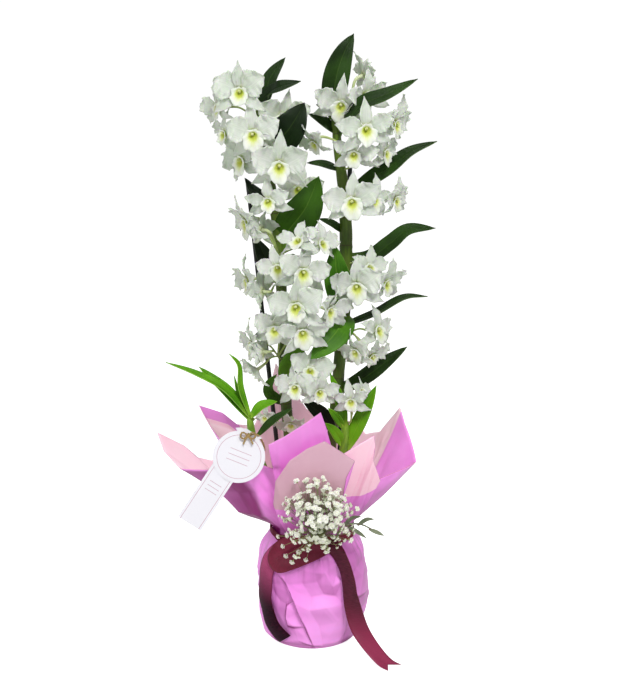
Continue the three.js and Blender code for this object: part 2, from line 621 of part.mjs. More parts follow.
function nurseryPot() {
  const { height, floor, wall, lip: edge, lipHeight } = POT;
  const profile = [
    [0, 0],
    [potRadius(0), 0],
    [potRadius(height - lipHeight), height - lipHeight],
    [potRadius(height - lipHeight) + edge, height - lipHeight],
    [potRadius(height) + edge, height],
    [potRadius(height) - wall, height],
    [potRadius(floor) - wall, floor],
    [0, floor],
  ].map(([r, z]) => new THREE.Vector2(r, z));
  const shell = new THREE.LatheGeometry(profile, POT_SIDES).rotateX(Math.PI / 2);
  let body = solid(shell);
  for (let k = 0; k < DRAIN.count; k++) {
    const hole = new THREE.CylinderGeometry(DRAIN.radius, DRAIN.radius, 4 * floor, 8).rotateX(Math.PI / 2);
    const place = onRing(45 + (360 * k) / DRAIN.count, DRAIN.ring, floor / 2);
    body = body.subtract(solid(hole.translate(place.x, place.y, place.z)));
  }
  return geometryOf(body).translate(0, 0, POT_BASE);
}
node("nursery_pot", nurseryPot(), COLOURS.pot);

// Bark chips: a filling with a lumpy top, and a plain hole for each stem.
function barkFilling() {
  const sides = 12;
  const draw = seeded(5);
  const low = POT.floor + GAP;
  const fit = (height) => (potRadius(height) - POT.wall - GAP) * Math.cos(Math.PI / POT_SIDES) - 0.2;
  const top = BARK_TOP - POT_BASE;
  const rings = [[fit(low), low], [fit(top), top], [fit(top) * 0.72, top], [fit(top) * 0.4, top]];
  const positions = [new THREE.Vector3(0, 0, low)];
  rings.forEach(([radius, height], ring) => {
    for (let k = 0; k < sides; k++) {
      positions.push(onRing((360 * k) / sides, radius, height + (ring > 1 ? 5 * draw() : 0)));
    }
  });
  positions.push(new THREE.Vector3(0, 0, top + 3));
  const triangles = [];
  const at = (ring, k) => 1 + ring * sides + (k % sides);
  for (let k = 0; k < sides; k++) {
    triangles.push([0, at(0, k + 1), at(0, k)]);
    for (let ring = 0; ring < rings.length - 1; ring++) {
      triangles.push([at(ring, k), at(ring, k + 1), at(ring + 1, k + 1)]);
      triangles.push([at(ring, k), at(ring + 1, k + 1), at(ring + 1, k)]);
    }
    triangles.push([at(rings.length - 1, k), at(rings.length - 1, k + 1), positions.length - 1]);
  }
  let body = solid(geometryFrom(positions, triangles).translate(0, 0, POT_BASE));
  for (const hole of [clearance.left, clearance.right, shootClearance.left, shootClearance.right]) {
    body = body.subtract(hole);
  }
  for (const ends of Object.values(STAKES)) {
    body = body.subtract(solid(stake(ends, GAP)));
  }
  return body;
}
node("bark", barkFilling(), COLOURS.bark);

// ---------------------------------------------------------------- film

const bagRadius = (height) => {
  const i = clamp(BAG.findIndex(([z]) => z >= height), 1, BAG.length - 1);
  const [low, high] = [BAG[i - 1], BAG[i]];
  return lerp(low[1], high[1], (height - low[0]) / (high[0] - low[0]));
};

// The bag: a cup of film with a flat foot, drawn in at the neck. Its pleats fade towards the neck.
function wrapBag() {
  const pleat = (k, height) => (k % 2 && height > 0 && height < NECK.low ? PLEAT : 0);
  const skins = [0, FILM].map((inset) => BAG.map(([z, r], i) => {
    const height = i === 0 ? z + inset : z;
    return Array.from({ length: BAG_SIDES }, (_, k) =>
      onRing((360 * k) / BAG_SIDES, r - inset - pleat(k, z), height));
  }));
  const positions = [new THREE.Vector3(0, 0, 0), new THREE.Vector3(0, 0, FILM), ...skins.flat(2)];
  const at = (skin, i, k) => 2 + (skin * BAG.length + i) * BAG_SIDES + (k % BAG_SIDES);
  const triangles = [];
  const last = BAG.length - 1;
  for (let k = 0; k < BAG_SIDES; k++) {
    triangles.push([0, at(0, 0, k + 1), at(0, 0, k)], [1, at(1, 0, k), at(1, 0, k + 1)]);
    for (let i = 0; i < last; i++) {
      const outer = [at(0, i, k), at(0, i, k + 1), at(0, i + 1, k + 1), at(0, i + 1, k)];
      const inner = [at(1, i, k), at(1, i, k + 1), at(1, i + 1, k + 1), at(1, i + 1, k)];
      triangles.push([outer[0], outer[1], outer[2]], [outer[0], outer[2], outer[3]]);
      triangles.push([inner[0], inner[2], inner[1]], [inner[0], inner[3], inner[2]]);
    }
    triangles.push([at(0, last, k), at(0, last, k + 1), at(1, last, k + 1)]);
    triangles.push([at(0, last, k), at(1, last, k + 1), at(1, last, k)]);
  }
  return geometryFrom(positions, triangles);
}
node("wrap_bag", wrapBag(), COLOURS.filmOutside);

// The collar flares from the neck to its pointed rim.
function wrapCollar() {
  const rows = [0, 0.35, 0.7, 1];
  const foot = COLLAR_RIM.map(([angle]) => angle);
  const low = foot.map((angle) => onRing(angle, NECK.collar, NECK.low));
  const neck = foot.map((angle) => onRing(angle, NECK.collar + 0.3, NECK.high));
  const { from, to, ease } = COLLAR_BOWL;
  const flare = rows.slice(1).map((t, k) => COLLAR_RIM.map(([angle, radius, height]) => {
    const start = new THREE.Vector2(NECK.collar + 0.3, NECK.high);
    const end = new THREE.Vector2(radius, height);
    const part = (out, up) => new THREE.Vector2(lerp(start.x, end.x, out), lerp(start.y, end.y, up));
    const belly = part(COLLAR_BELLY.radius, COLLAR_BELLY.height);
    const plain = new THREE.QuadraticBezierCurve(start, belly, end).getPoint(t);
    const bowl = part(COLLAR_BOWL.radius[k + 1], COLLAR_BOWL.height[k + 1]);
    const point = plain.lerp(bowl, clamp(Math.min(angle - from, to - angle) / ease, 0, 1));
    return onRing(angle, point.x, point.y);
  }));
  return slab([low, neck, ...flare], FILM, true);
}
node("wrap_collar", wrapCollar(), COLOURS.filmInside);

function flap({ radius, foot, rim, belly }) {
  const cols = rim.length;
  const rows = [0, 0.35, 0.7, 1];
  const angles = rim.map((_, j) => lerp(foot[0], foot[1], j / (cols - 1)));
  const low = angles.map((angle) => onRing(angle, NECK[radius], NECK.low));
  const neck = angles.map((angle) => onRing(angle, NECK[radius], NECK.high));
  const rise = rows.slice(1).map((t) => neck.map((start, j) => start.clone().lerp(vec(rim[j]), t)
    .add(new THREE.Vector3(0, belly * Math.sin(Math.PI * t), 0))));
  return slab([low, neck, ...rise], FILM);
}
node("wrap_front_flap", flap(FLAPS.front_flap), COLOURS.filmOutside);
node("wrap_right_fold", flap(FLAPS.right_fold), COLOURS.filmInside);
node("wrap_front_fold", flap(FLAPS.front_fold), COLOURS.filmInside);

// ---------------------------------------------------------------- ribbon

function ribbonBand() {
  const sides = 20;
  const ring = (height) =>
    Array.from({ length: sides }, (_, k) => onRing((360 * k) / sides, NECK.band, height));
  return slab([ring(BAND.low), ring(BAND.high)], RIBBON, true);
}
node("ribbon_band", ribbonBand(), COLOURS.ribbon);

// A ribbon laid on the band and the bag along its route.
function ribbonOnBag(route, lift, width) {
  const curve = new THREE.CatmullRomCurve3(route.map(([a, z]) => new THREE.Vector3(a, z, 0)));
  const steps = Math.round(1.2 * (route.length - 1));
  const onBand = NECK.band + RIBBON + GAP;
  const grid = [];
  for (let i = 0; i <= steps; i++) {
    const place = curve.getPoint(i / steps);
    const ahead = curve.getTangent(i / steps);
    const reach = Math.max(bagRadius(place.y), onBand);
    const heading = new THREE.Vector2(rad(ahead.x) * reach, ahead.y).normalize();
    grid.push([-1, 0, 1].map((side) => {
      const step = (side * width) / 2;
      const height = Math.max(place.y + heading.x * step, RIBBON);
      const angle = place.x - THREE.MathUtils.radToDeg((heading.y * step) / reach);
      return onRing(angle, Math.max(bagRadius(height), onBand) + along(lift, i / steps), height);
    }));
  }
  return slab(grid, RIBBON);
}
node("ribbon_left_tail", ribbonOnBag(LEFT_TAIL, LEFT_TAIL_LIFT, LEFT_TAIL_WIDTH), COLOURS.ribbon);
node("ribbon_loop", ribbonOnBag(LOOP, LOOP_LIFT, RIBBON_WIDTH), COLOURS.ribbon);

// The right tail hangs from the knot and ends in a swallow tail on the table.
function ribbonRightTail() {
  const { route, across, width, notch } = RIGHT_TAIL;
  const curve = new THREE.CatmullRomCurve3(route.map(vec), false, "centripetal");
  const steps = 10;
  const grid = [];
  for (let i = 0; i <= steps; i++) {
    const t = i / steps;
    const side = new THREE.Vector3(...[0, 1, 2].map((axis) => along(across.map((a) => a[axis]), t)));
    side.setLength(width / 2);
    grid.push([-1, 0, 1].map((sign) => curve.getPoint(t).addScaledVector(side, sign)));
  }
  const end = grid[steps];
  end[1].addScaledVector(curve.getTangent(1), -notch);
  return slab(grid, RIBBON);
}
node("ribbon_right_tail", ribbonRightTail(), COLOURS.ribbon);

// ---------------------------------------------------------------- baby's breath and sprig

// A stem with its head: three-sided, from just inside the core.
function floret(root, tip, size) {
  const way = tip.clone().sub(root).normalize();
  const side = new THREE.Vector3(0.3, 0.5, 0.8).cross(way).normalize();
  const other = way.clone().cross(side);
  const ring = (centre, radius) => [0, 120, 240].map((turn) => centre.clone()
    .addScaledVector(side, radius * Math.cos(rad(turn)))
    .addScaledVector(other, radius * Math.sin(rad(turn))));
  const neck = tip.clone().addScaledVector(way, -size);
  const rings = [ring(root, BREATH.stemRadius), ring(neck, BREATH.stemRadius), ring(tip, size)];
  const triangles = [[0, 2, 1]];
  for (let i = 0; i < rings.length; i++) {
    for (let k = 0; k < 3; k++) {
      const [a, b] = [3 * i + k, 3 * i + ((k + 1) % 3)];
      if (i < rings.length - 1) triangles.push([a, b, b + 3], [a, b + 3, a + 3]);
      else triangles.push([a, b, 9]);
    }
  }
  return geometryFrom([...rings.flat(), tip.clone().addScaledVector(way, 0.8 * size)], triangles);
}

function babysBreath() {
  const { knot, middle, reach, core, heads, headRadius, seed } = BREATH;
  const draw = seeded(seed);
  const centre = vec(middle);
  const pieces = [new THREE.IcosahedronGeometry(1, 1).scale(...core).translate(...middle)];
  pieces.push(bar([knot, vec(knot).lerp(centre, 0.5).toArray(), middle], [3, 4, 5], 5, 2));
  for (let k = 0; k < heads; k++) {
    // Even spread over a ball, cut off behind where the film is.
    const turn = k * 137.508;
    const height = 1 - (2 * (k + 0.5)) / heads;
    const flat = Math.sqrt(1 - height * height);
    const way = new THREE.Vector3(flat * Math.cos(rad(turn)), flat * Math.sin(rad(turn)), height);
    way.y = Math.min(way.y, 0.2);
    const tip = centre.clone().add(way.clone().multiply(vec(reach)).multiplyScalar(0.78 + 0.3 * draw()));
    const root = centre.clone().add(way.multiply(vec(core)).multiplyScalar(0.7));
    pieces.push(floret(root, tip, lerp(headRadius[0], headRadius[1], draw())));
  }
  return largest(join(pieces));
}
node("babys_breath", babysBreath(), COLOURS.breath);

function sprig() {
  const face = [[0, -1, 0.5], [0, -1, 0.5]];
  const leaf = (spine) => blade({ spine, width: SPRIG.leafWidth, face, fold: 0 }, 3, [-1, 1]);
  return largest(join([bar(SPRIG.stem, [1.2, 0.8], 4, 4), ...SPRIG.leaves.map(leaf)]));
}
node("sprig", sprig(), COLOURS.sprig);

// ---------------------------------------------------------------- tag

// Axes of the tag: down the card, across it, and out of its face.
const tagFace = vec(TAG.face).normalize();
const tagAcross = vec(TAG.down).cross(tagFace).normalize();
const tagDown = tagFace.clone().cross(tagAcross).normalize();

function cardPlate(outline, forward, turn = 0) {
  const hole = new THREE.Path().absarc(0, 0, TAG.holeRadius, 0, 2 * Math.PI, true);
  outline.holes.push(hole);
  const plate = new THREE.ExtrudeGeometry(outline, { depth: CARD, bevelEnabled: false, curveSegments: 6 });
  plate.rotateZ(rad(turn));
  const frame = new THREE.Matrix4().makeBasis(tagAcross, tagDown.clone().negate(), tagFace);
  if (frame.determinant() < 0) frame.makeBasis(tagAcross.clone().negate(), tagDown.clone().negate(), tagFace);
  plate.applyMatrix4(frame);
  const place = vec(TAG.hole).addScaledVector(tagFace, forward);
  return plate.translate(place.x, place.y, place.z);
}

// A disc with two small ears beside the hole.
function roundCard() {
  const { roundRadius, roundDrop, ear } = TAG;
  const shape = new THREE.Shape();
  const start = Math.acos(ear / roundRadius) + 0.12;
  shape.moveTo(-ear - 1, 5);
  shape.lineTo(-ear * 1.7, -roundDrop + roundRadius * Math.sin(start));
  shape.absarc(0, -roundDrop, roundRadius, Math.PI - start + 0.25, start - 0.25, false);
  shape.lineTo(ear * 1.7, -roundDrop + roundRadius * Math.sin(start));
  shape.lineTo(ear + 1, 5);
  return cardPlate(shape, CARD + GAP, TAG.roundTurn);
}

function stripCard() {
  const half = TAG.stripWidth / 2;
  const shape = new THREE.Shape();
  shape.moveTo(-half * 0.4, 5);
  shape.lineTo(-half, -12);
  shape.lineTo(-half, -TAG.stripLength);
  shape.lineTo(half, -TAG.stripLength);
  shape.lineTo(half, -12);
  shape.lineTo(half * 0.4, 5);
  return cardPlate(shape, 0, TAG.stripTurn);
}
node("card_round", roundCard(), COLOURS.card);
node("card_strip", stripCard(), COLOURS.card);

// Twine: a ring through both holes and round the shoot, with a small bow in front.
function twineBow() {
  const hole = vec(TAG.hole);
  const front = hole.clone().addScaledVector(tagFace, 5);
  const stem = vec(SHOOTS.left.stem[2]).lerp(vec(SHOOTS.left.stem[3]), 0.85);
  const round = ([x, y, z]) => stem.clone().add(new THREE.Vector3(x, y, z));
  const ringPoints = [front, hole.clone().addScaledVector(tagFace, -2), round([-8, -3, 1]), round([-1, 7, 1]),
    round([7, 2, 2]), hole.clone().add(new THREE.Vector3(13, -5, 6))];
  const curve = new THREE.CatmullRomCurve3(ringPoints, true);
  const path = curve.getPoints(14).slice(0, 14).map((p) => p.toArray());
  const half = [path.slice(0, 8), [...path.slice(7), path[0]]];
  const loop = (side) => [[0, 0], [6, 4], [8.5, 0.5], [5.5, -3], [0, 0]].map(([x, z]) =>
    [front.x + side * x, front.y - 1, front.z + z]);
  const tail = (side) => [[0, 0], [5, -6], [8, -13]].map(([x, z]) =>
    [front.x + side * x, front.y - 1, front.z + z]);
  const strand = (points, steps) => bar(points, [TWINE_RADIUS, TWINE_RADIUS], 3, steps);
  const knot = new THREE.OctahedronGeometry(2.8, 0).translate(front.x, front.y, front.z);
  return largest(join([knot, strand(half[0], 5), strand(half[1], 5), strand(loop(-1), 4), strand(loop(1), 4),
    strand(tail(-1), 1), strand(tail(1), 1)]));
}
node("twine_bow", twineBow(), COLOURS.twine);

export default group;
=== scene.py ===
# %% [markdown]
# # A gift-wrapped dendrobium orchid
# The plant stands in a nursery pot that is wrapped in two-tone film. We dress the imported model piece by
# piece: stems, leaves and blooms first, then film, ribbon, baby's breath and the tag.
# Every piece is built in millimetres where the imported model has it, and is turned into metres at the end.

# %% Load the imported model
import math

import bmesh
import bpy
import numpy as np
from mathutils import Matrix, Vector
from mathutils.geometry import delaunay_2d_cdt


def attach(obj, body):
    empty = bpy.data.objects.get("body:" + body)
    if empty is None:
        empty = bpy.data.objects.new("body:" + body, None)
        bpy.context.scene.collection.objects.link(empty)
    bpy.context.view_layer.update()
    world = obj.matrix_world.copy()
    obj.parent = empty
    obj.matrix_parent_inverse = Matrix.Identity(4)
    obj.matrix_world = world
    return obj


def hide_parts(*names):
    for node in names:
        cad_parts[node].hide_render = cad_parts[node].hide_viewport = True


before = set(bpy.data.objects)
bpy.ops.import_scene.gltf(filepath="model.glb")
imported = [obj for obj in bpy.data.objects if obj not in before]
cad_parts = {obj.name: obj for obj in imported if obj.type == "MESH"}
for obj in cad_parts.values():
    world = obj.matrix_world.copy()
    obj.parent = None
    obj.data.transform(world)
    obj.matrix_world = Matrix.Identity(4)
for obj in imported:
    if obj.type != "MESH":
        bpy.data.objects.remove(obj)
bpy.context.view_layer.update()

print("nodes in the packed model:", len(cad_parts))

# %% [markdown]
# ## Tools for surfaces
# Almost everything here is a strip of points: rows along a petal or a leaf, columns across it. `Form`
# gathers such strips and makes one mesh of them. A strip can be given a thickness, so that it has two faces
# and a rim.

# %% Small helpers
MM = 0.001
CURVE_STEPS = 24  # places on a smooth curve between two given points
ASKEW = (0.31, 0.52, 0.79)  # an arbitrary way, from which a rod's sides are turned


def vec(*p):
    return np.array(p, float)


def unit(v):
    v = np.asarray(v, float)
    return v / (np.linalg.norm(v, axis=-1, keepdims=True) + 1e-12)


def smooth_line(points, count):
    """Evenly spaced points on the smooth curve through the given ones, and the directions there."""
    p = np.array(points, float)
    p = np.vstack([2 * p[0] - p[1], p, 2 * p[-1] - p[-2]])
    t = np.linspace(0, 1, CURVE_STEPS, endpoint=False)[:, None]
    parts = []
    for p0, p1, p2, p3 in zip(p, p[1:], p[2:], p[3:]):
        a, b, c = (max(np.linalg.norm(v) ** 0.5, 1e-6) for v in (p1 - p0, p2 - p1, p3 - p2))
        m1 = ((p1 - p0) / a - (p2 - p0) / (a + b) + (p2 - p1) / b) * b
        m2 = ((p2 - p1) / b - (p3 - p1) / (b + c) + (p3 - p2) / c) * b
        parts.append((2 * t**3 - 3 * t**2 + 1) * p1 + (t**3 - 2 * t**2 + t) * m1
                     + (3 * t**2 - 2 * t**3) * p2 + (t**3 - t**2) * m2)
    line = np.vstack([*parts, p[-2][None]])
    run = np.concatenate([[0], np.cumsum(np.linalg.norm(np.diff(line, axis=0), axis=1))])
    even = np.linspace(0, run[-1], count)
    line = np.stack([np.interp(even, run, line[:, k]) for k in range(3)], axis=1)
    return line, unit(np.gradient(line, axis=0))


def along(values, count):
    """A list of values, spread evenly over count places."""
    return np.interp(np.linspace(0, 1, count), np.linspace(0, 1, len(values)), values)


def normals_of(grid, closed=False):
    """Directions out of a strip. A row that shrinks to a point takes its neighbour's."""
    wide = np.concatenate([grid[:, -1:], grid, grid[:, :1]], axis=1) if closed else grid
    across = np.gradient(wide, axis=1)
    across = across[:, 1:-1] if closed else across
    n = np.cross(across, np.gradient(grid, axis=0))
    size = np.linalg.norm(n, axis=-1)
    for row, beside in ((0, 1), (-1, -2)):
        if size[row].max() < 1e-6 * size[beside].max() + 1e-12:
            n[row] = n[beside]
    return unit(n)


# %% The form: strips of points become one mesh
def dress(name, mesh, finishes, nodes):
    """Puts a mesh in the scene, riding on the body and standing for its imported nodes."""
    for finish in finishes:
        mesh.materials.append(finish)
    piece = bpy.data.objects.new(name, mesh)
    bpy.context.scene.collection.objects.link(piece)
    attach(piece, "root")
    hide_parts(*nodes)
    return piece


class Form:
    """Strips of points in mm, with each face's finish and its place in the map `along`."""

    def __init__(self):
        self.points, self.quads, self.marks, self.finish, self.count = [], [], [], [], 0

    def strip(self, grid, finish=0, closed=False, flip=False, span=(1, 1), marks=None):
        rows, cols = grid.shape[:2]
        base = self.count
        self.points.append(grid.reshape(-1, 3))
        self.count += rows * cols
        i, j = np.meshgrid(np.arange(rows - 1), np.arange(cols if closed else cols - 1), indexing="ij")
        k = (j + 1) % cols
        quads = np.stack([i * cols + j, i * cols + k, (i + 1) * cols + k, (i + 1) * cols + j], -1) + base
        if marks is None:
            wide = cols if closed else cols - 1
            u = np.stack([j, j + 1, j + 1, j], -1) / wide
            v = np.stack([i, i, i + 1, i + 1], -1) / (rows - 1)
            marks = np.stack([u * span[0], v * span[1]], -1)
        else:
            marks = marks.reshape(-1, 2)[quads - base]
        if flip:
            quads, marks = quads[..., ::-1], marks[..., ::-1, :]
        self.quads.append(quads.reshape(-1, 4))
        self.marks.append(marks.reshape(-1, 2))
        self.finish.append(np.broadcast_to(finish, i.shape).reshape(-1))
        return base

    def sheet(self, grid, thickness, front=0, back=0, closed=False, span=(1, 1), marks=None):
        """A strip with a front, a back and a rim. The front looks along the grid's normals.

        marks, where given, are two grids of map values: the front's and the back's.
        """
        rows, cols = grid.shape[:2]
        lift = normals_of(grid, closed) * thickness / 2
        front_marks, back_marks = marks or (None, None)
        a = self.strip(grid + lift, front, closed, span=span, marks=front_marks)
        b = self.strip(grid - lift, back, closed, flip=True, span=span, marks=back_marks)
        at = np.arange(rows * cols).reshape(rows, cols)
        ring = np.concatenate([at, at[:, :1]], axis=1) if closed else at
        edges = [(ring[0, 1:], ring[0, :-1]), (ring[-1, :-1], ring[-1, 1:])]
        if not closed:
            edges += [(at[:-1, 0], at[1:, 0]), (at[1:, -1], at[:-1, -1])]
        for one, two in edges:
            self.quads.append(np.stack([a + one, a + two, b + two, b + one], -1))
            place = np.stack([one % cols / (cols - 1) * span[0], one // cols / (rows - 1) * span[1]], -1)
            self.marks.append(np.repeat(place, 4, axis=0))
            self.finish.append(np.full(len(one), int(np.max(back))))

    def rod(self, points, radii, sides=8, finish=0, rows=None, span=(1, 1)):
        """A round rod along points, with closed ends."""
        rows = rows or len(points)
        line, ahead = smooth_line(points, rows)
        radius = along(radii, rows)[:, None, None]
        side = np.cross(ahead[0], ASKEW)
        sides_at = []
        for way in ahead:
            side = unit(side - way * np.dot(side, way))
            sides_at.append(side)
        side = np.array(sides_at)
        other = np.cross(ahead, side)
        turn = np.linspace(0, 2 * math.pi, sides, endpoint=False)
        turn = turn[None, :, None]
        ring = side[:, None] * np.cos(turn) + other[:, None] * np.sin(turn)
        grid = line[:, None] + ring * radius
        ends = [np.repeat(line[k][None, None], sides, axis=1) for k in (0, -1)]
        self.strip(np.concatenate([ends[0], grid, ends[1]]), finish, closed=True, span=span)

    def blob(self, centre, sizes, axes=None, finish=0, rows=6, sides=8):
        """A rounded bead."""
        axes = np.eye(3) if axes is None else np.array(axes)
        a = np.linspace(0, math.pi, rows + 1)
        b = np.linspace(0, 2 * math.pi, sides, endpoint=False)
        local = np.stack([np.sin(a)[:, None] * np.cos(b), np.sin(a)[:, None] * np.sin(b),
                          np.cos(a)[:, None] * np.ones(sides)], -1) * np.array(sizes)
        self.strip(centre + local[:, ::-1] @ axes, finish, closed=True)

    def make(self, name, finishes, nodes, smooth=True):
        """The mesh, in metres, as a dressed piece."""
        mesh = bpy.data.meshes.new(name)
        points = np.concatenate(self.points) * MM
        quads = np.concatenate(self.quads)
        mesh.from_pydata(points.tolist(), [], quads.tolist())
        mesh.uv_layers.new(name="along").data.foreach_set("uv", np.concatenate(self.marks).ravel())
        mesh.polygons.foreach_set("material_index", np.concatenate(self.finish).astype(np.int32))
        mesh.polygons.foreach_set("use_smooth", np.full(len(quads), smooth))
        tidy = bmesh.new()
        tidy.from_mesh(mesh)
        bmesh.ops.remove_doubles(tidy, verts=tidy.verts, dist=1e-7)
        tidy.to_mesh(mesh)
        tidy.free()
        return dress(name, mesh, finishes, nodes)


print("the form's tools are ready")

# %% [markdown]
# ## Finishes
# Each finish is a Principled shader. What several finishes share is a node group that only puts out masks and
# heights: streaks that run along a leaf or a stem, mottling, and the small creases of a sheet.
# The strip's own coordinates say where a point lies: across runs from 0 to 1, and along from 0 at the root
# to 1 at the tip. Canes, film and cards use them in their own way, as told there.


# %% Node helpers
class Nodes:
    """Adds nodes to a tree and joins them, in few words."""

    def __init__(self, tree):
        self.tree = tree

    def add(self, kind, inputs=None, **settings):
        made = self.tree.nodes.new(kind)
        for key, value in settings.items():
            setattr(made, key, value)
        for key, value in (inputs or {}).items():
            self.put(made.inputs[key], value)
        return made

    def put(self, socket, value):
        if isinstance(value, bpy.types.NodeSocket):
            self.tree.links.new(value, socket)
        else:
            socket.default_value = value

    def math(self, operation, a, b=0.0):
        return self.add("ShaderNodeMath", {0: a, 1: b}, operation=operation).outputs[0]

    def times(self, a, b):
        return self.math("MULTIPLY", a, b)

    def plus(self, a, b):
        return self.math("ADD", a, b)

    def off_middle(self, value):
        """How far a value lies from 0.5."""
        return self.math("ABSOLUTE", self.math("SUBTRACT", value, 0.5))

    def mix(self, factor, one, two):
        made = self.add("ShaderNodeMix", data_type="RGBA")
        for name, value in (("Factor_Float", factor), ("A_Color", one), ("B_Color", two)):
            self.put(next(s for s in made.inputs if s.identifier == name), value)
        return next(s for s in made.outputs if s.identifier == "Result_Color")

    def ramp(self, factor, stops):
        made = self.add("ShaderNodeValToRGB", {"Fac": factor})
        while len(made.color_ramp.elements) < len(stops):
            made.color_ramp.elements.new(0.5)
        for element, (place, colour) in zip(made.color_ramp.elements, stops):
            element.position = place
            element.color = colour
        return made.outputs["Color"]

    def smooth(self, value, low, high):
        return self.add("ShaderNodeMapRange", {"Value": value, "From Min": low, "From Max": high},
                        interpolation_type="SMOOTHSTEP").outputs["Result"]


def group(name, inputs, outputs, build):
    tree = bpy.data.node_groups.new(name, "ShaderNodeTree")
    for key, value in inputs.items():
        socket = tree.interface.new_socket(key, in_out="INPUT", socket_type="NodeSocketFloat")
        socket.default_value = value
    for key in outputs:
        tree.interface.new_socket(key, in_out="OUTPUT", socket_type="NodeSocketFloat")
    tools = Nodes(tree)
    come = tree.nodes.new("NodeGroupInput")
    go = tree.nodes.new("NodeGroupOutput")
    for key, value in build(tools, come.outputs).items():
        tools.put(go.inputs[key], value)
    return tree


# %% Shared effects
def streaks_group(tools, given):
    """Fine lines along the strip."""
    place = tools.add("ShaderNodeUVMap", uv_map="along").outputs["UV"]
    parts = tools.add("ShaderNodeSeparateXYZ", {0: place}).outputs
    across, run = tools.times(parts[0], given["Lines"]), tools.times(parts[1], given["Runs"])
    where = tools.add("ShaderNodeCombineXYZ", {0: across, 1: run}).outputs[0]
    lines = tools.add("ShaderNodeTexNoise", {"Vector": where, "Scale": 1.0, "Detail": 2.0}).outputs[0]
    return {"Mask": tools.smooth(lines, 0.35, 0.65), "Across": parts[0], "Along": parts[1]}


def mottle_group(tools, given):
    """Soft clouds of two sizes, from the place on the object."""
    place = tools.add("ShaderNodeTexCoord").outputs["Object"]
    scale = given["Scale"]
    wide = tools.add("ShaderNodeTexNoise", {"Vector": place, "Scale": scale, "Detail": 4.0}).outputs[0]
    fine_scale = tools.times(scale, 9.0)
    fine = tools.add("ShaderNodeTexNoise", {"Vector": place, "Scale": fine_scale, "Detail": 3.0}).outputs[0]
    return {"Clouds": tools.smooth(wide, 0.32, 0.68), "Grain": fine}


def creases_group(tools, given):
    """Sharp little creases, as in film that was crumpled once."""
    place = tools.add("ShaderNodeTexCoord").outputs["Object"]
    bent = tools.add("ShaderNodeTexNoise", {"Vector": place, "Scale": 14.0}).outputs["Color"]
    push = tools.add("ShaderNodeVectorMath", {0: bent, "Scale": 0.02}, operation="SCALE").outputs[0]
    moved = tools.add("ShaderNodeVectorMath", {0: place, 1: push}, operation="ADD").outputs[0]
    cells = tools.add("ShaderNodeTexVoronoi", {"Vector": moved, "Scale": given["Scale"]},
                      feature="DISTANCE_TO_EDGE").outputs["Distance"]
    return {"Height": tools.smooth(cells, 0.0, 0.35), "Line": tools.smooth(cells, 0.06, 0.0)}


STREAKS = group("Streaks", {"Lines": 30.0, "Runs": 2.0}, ["Mask", "Across", "Along"], streaks_group)
MOTTLE = group("Mottle", {"Scale": 30.0}, ["Clouds", "Grain"], mottle_group)
CREASES = group("Creases", {"Scale": 30.0}, ["Height", "Line"], creases_group)
print("shared effects:", [g.name for g in bpy.data.node_groups])


# %% One finish at a time
class Finish(Nodes):
    def __init__(self, name, **settings):
        self.material = bpy.data.materials.new(name)
        self.material.use_nodes = True
        super().__init__(self.material.node_tree)
        self.shader = self.tree.nodes["Principled BSDF"]
        self.set(**settings)

    def set(self, **settings):
        for key, value in settings.items():
            self.put(self.shader.inputs[key.replace("_", " ")], value)

    def use(self, tree, **inputs):
        made = self.tree.nodes.new("ShaderNodeGroup")
        made.node_tree = tree
        for key, value in inputs.items():
            self.put(made.inputs[key], value)
        return made.outputs

    def bump(self, height, distance, strength):
        made = self.add("ShaderNodeBump", {"Height": height, "Distance": distance, "Strength": strength})
        self.set(Normal=made.outputs["Normal"])


def rgb(r, g, b):
    """A colour as a picture program gives it, 0 to 255, turned linear."""
    part = [c / 255 for c in (r, g, b)]
    return (*[c / 12.92 if c < 0.04045 else ((c + 0.055) / 1.055) ** 2.4 for c in part], 1)


def smooth_tint(name, low, high, root=None, tip=None, lines=30, runs=2, roughness=0.5, height=0.0002,
                clouds=30, subsurface=0.0, **settings):
    """Two tints in clouds and streaks. root and tip are a colour and the along value where it fades."""
    f = Finish(name, Roughness=roughness, **settings)
    if subsurface:
        f.set(Subsurface_Weight=subsurface, Subsurface_Radius=(0.6, 1.0, 0.4), Subsurface_Scale=0.003)
    streak = f.use(STREAKS, Lines=lines, Runs=runs)
    mottle = f.use(MOTTLE, Scale=clouds)
    blend = f.plus(f.times(streak["Mask"], 0.45), f.times(mottle["Clouds"], 0.55))
    colour = f.mix(blend, low, high)
    if root:
        colour = f.mix(f.smooth(streak["Along"], root[1], 0.0), colour, root[0])
    if tip:
        colour = f.mix(f.smooth(streak["Along"], tip[1], 1.0), colour, tip[0])
    f.set(Base_Color=colour)
    f.bump(streak["Mask"], height, 0.4)
    return f


# %% [markdown]
# ### Petals, leaves and stems
# A petal is thin and lets light through, so it gets a little subsurface light and faint veins. The lip is a
# funnel whose throat is yellow-green. A dendrobium leaf is leathery: glossy above, dull and paler below.

# %% Plant finishes
petal = smooth_tint("petal", rgb(194, 204, 190), rgb(221, 227, 216), root=(rgb(196, 208, 156), 0.22),
                    lines=26, runs=1.6, roughness=0.55, height=0.00025, subsurface=0.35).material

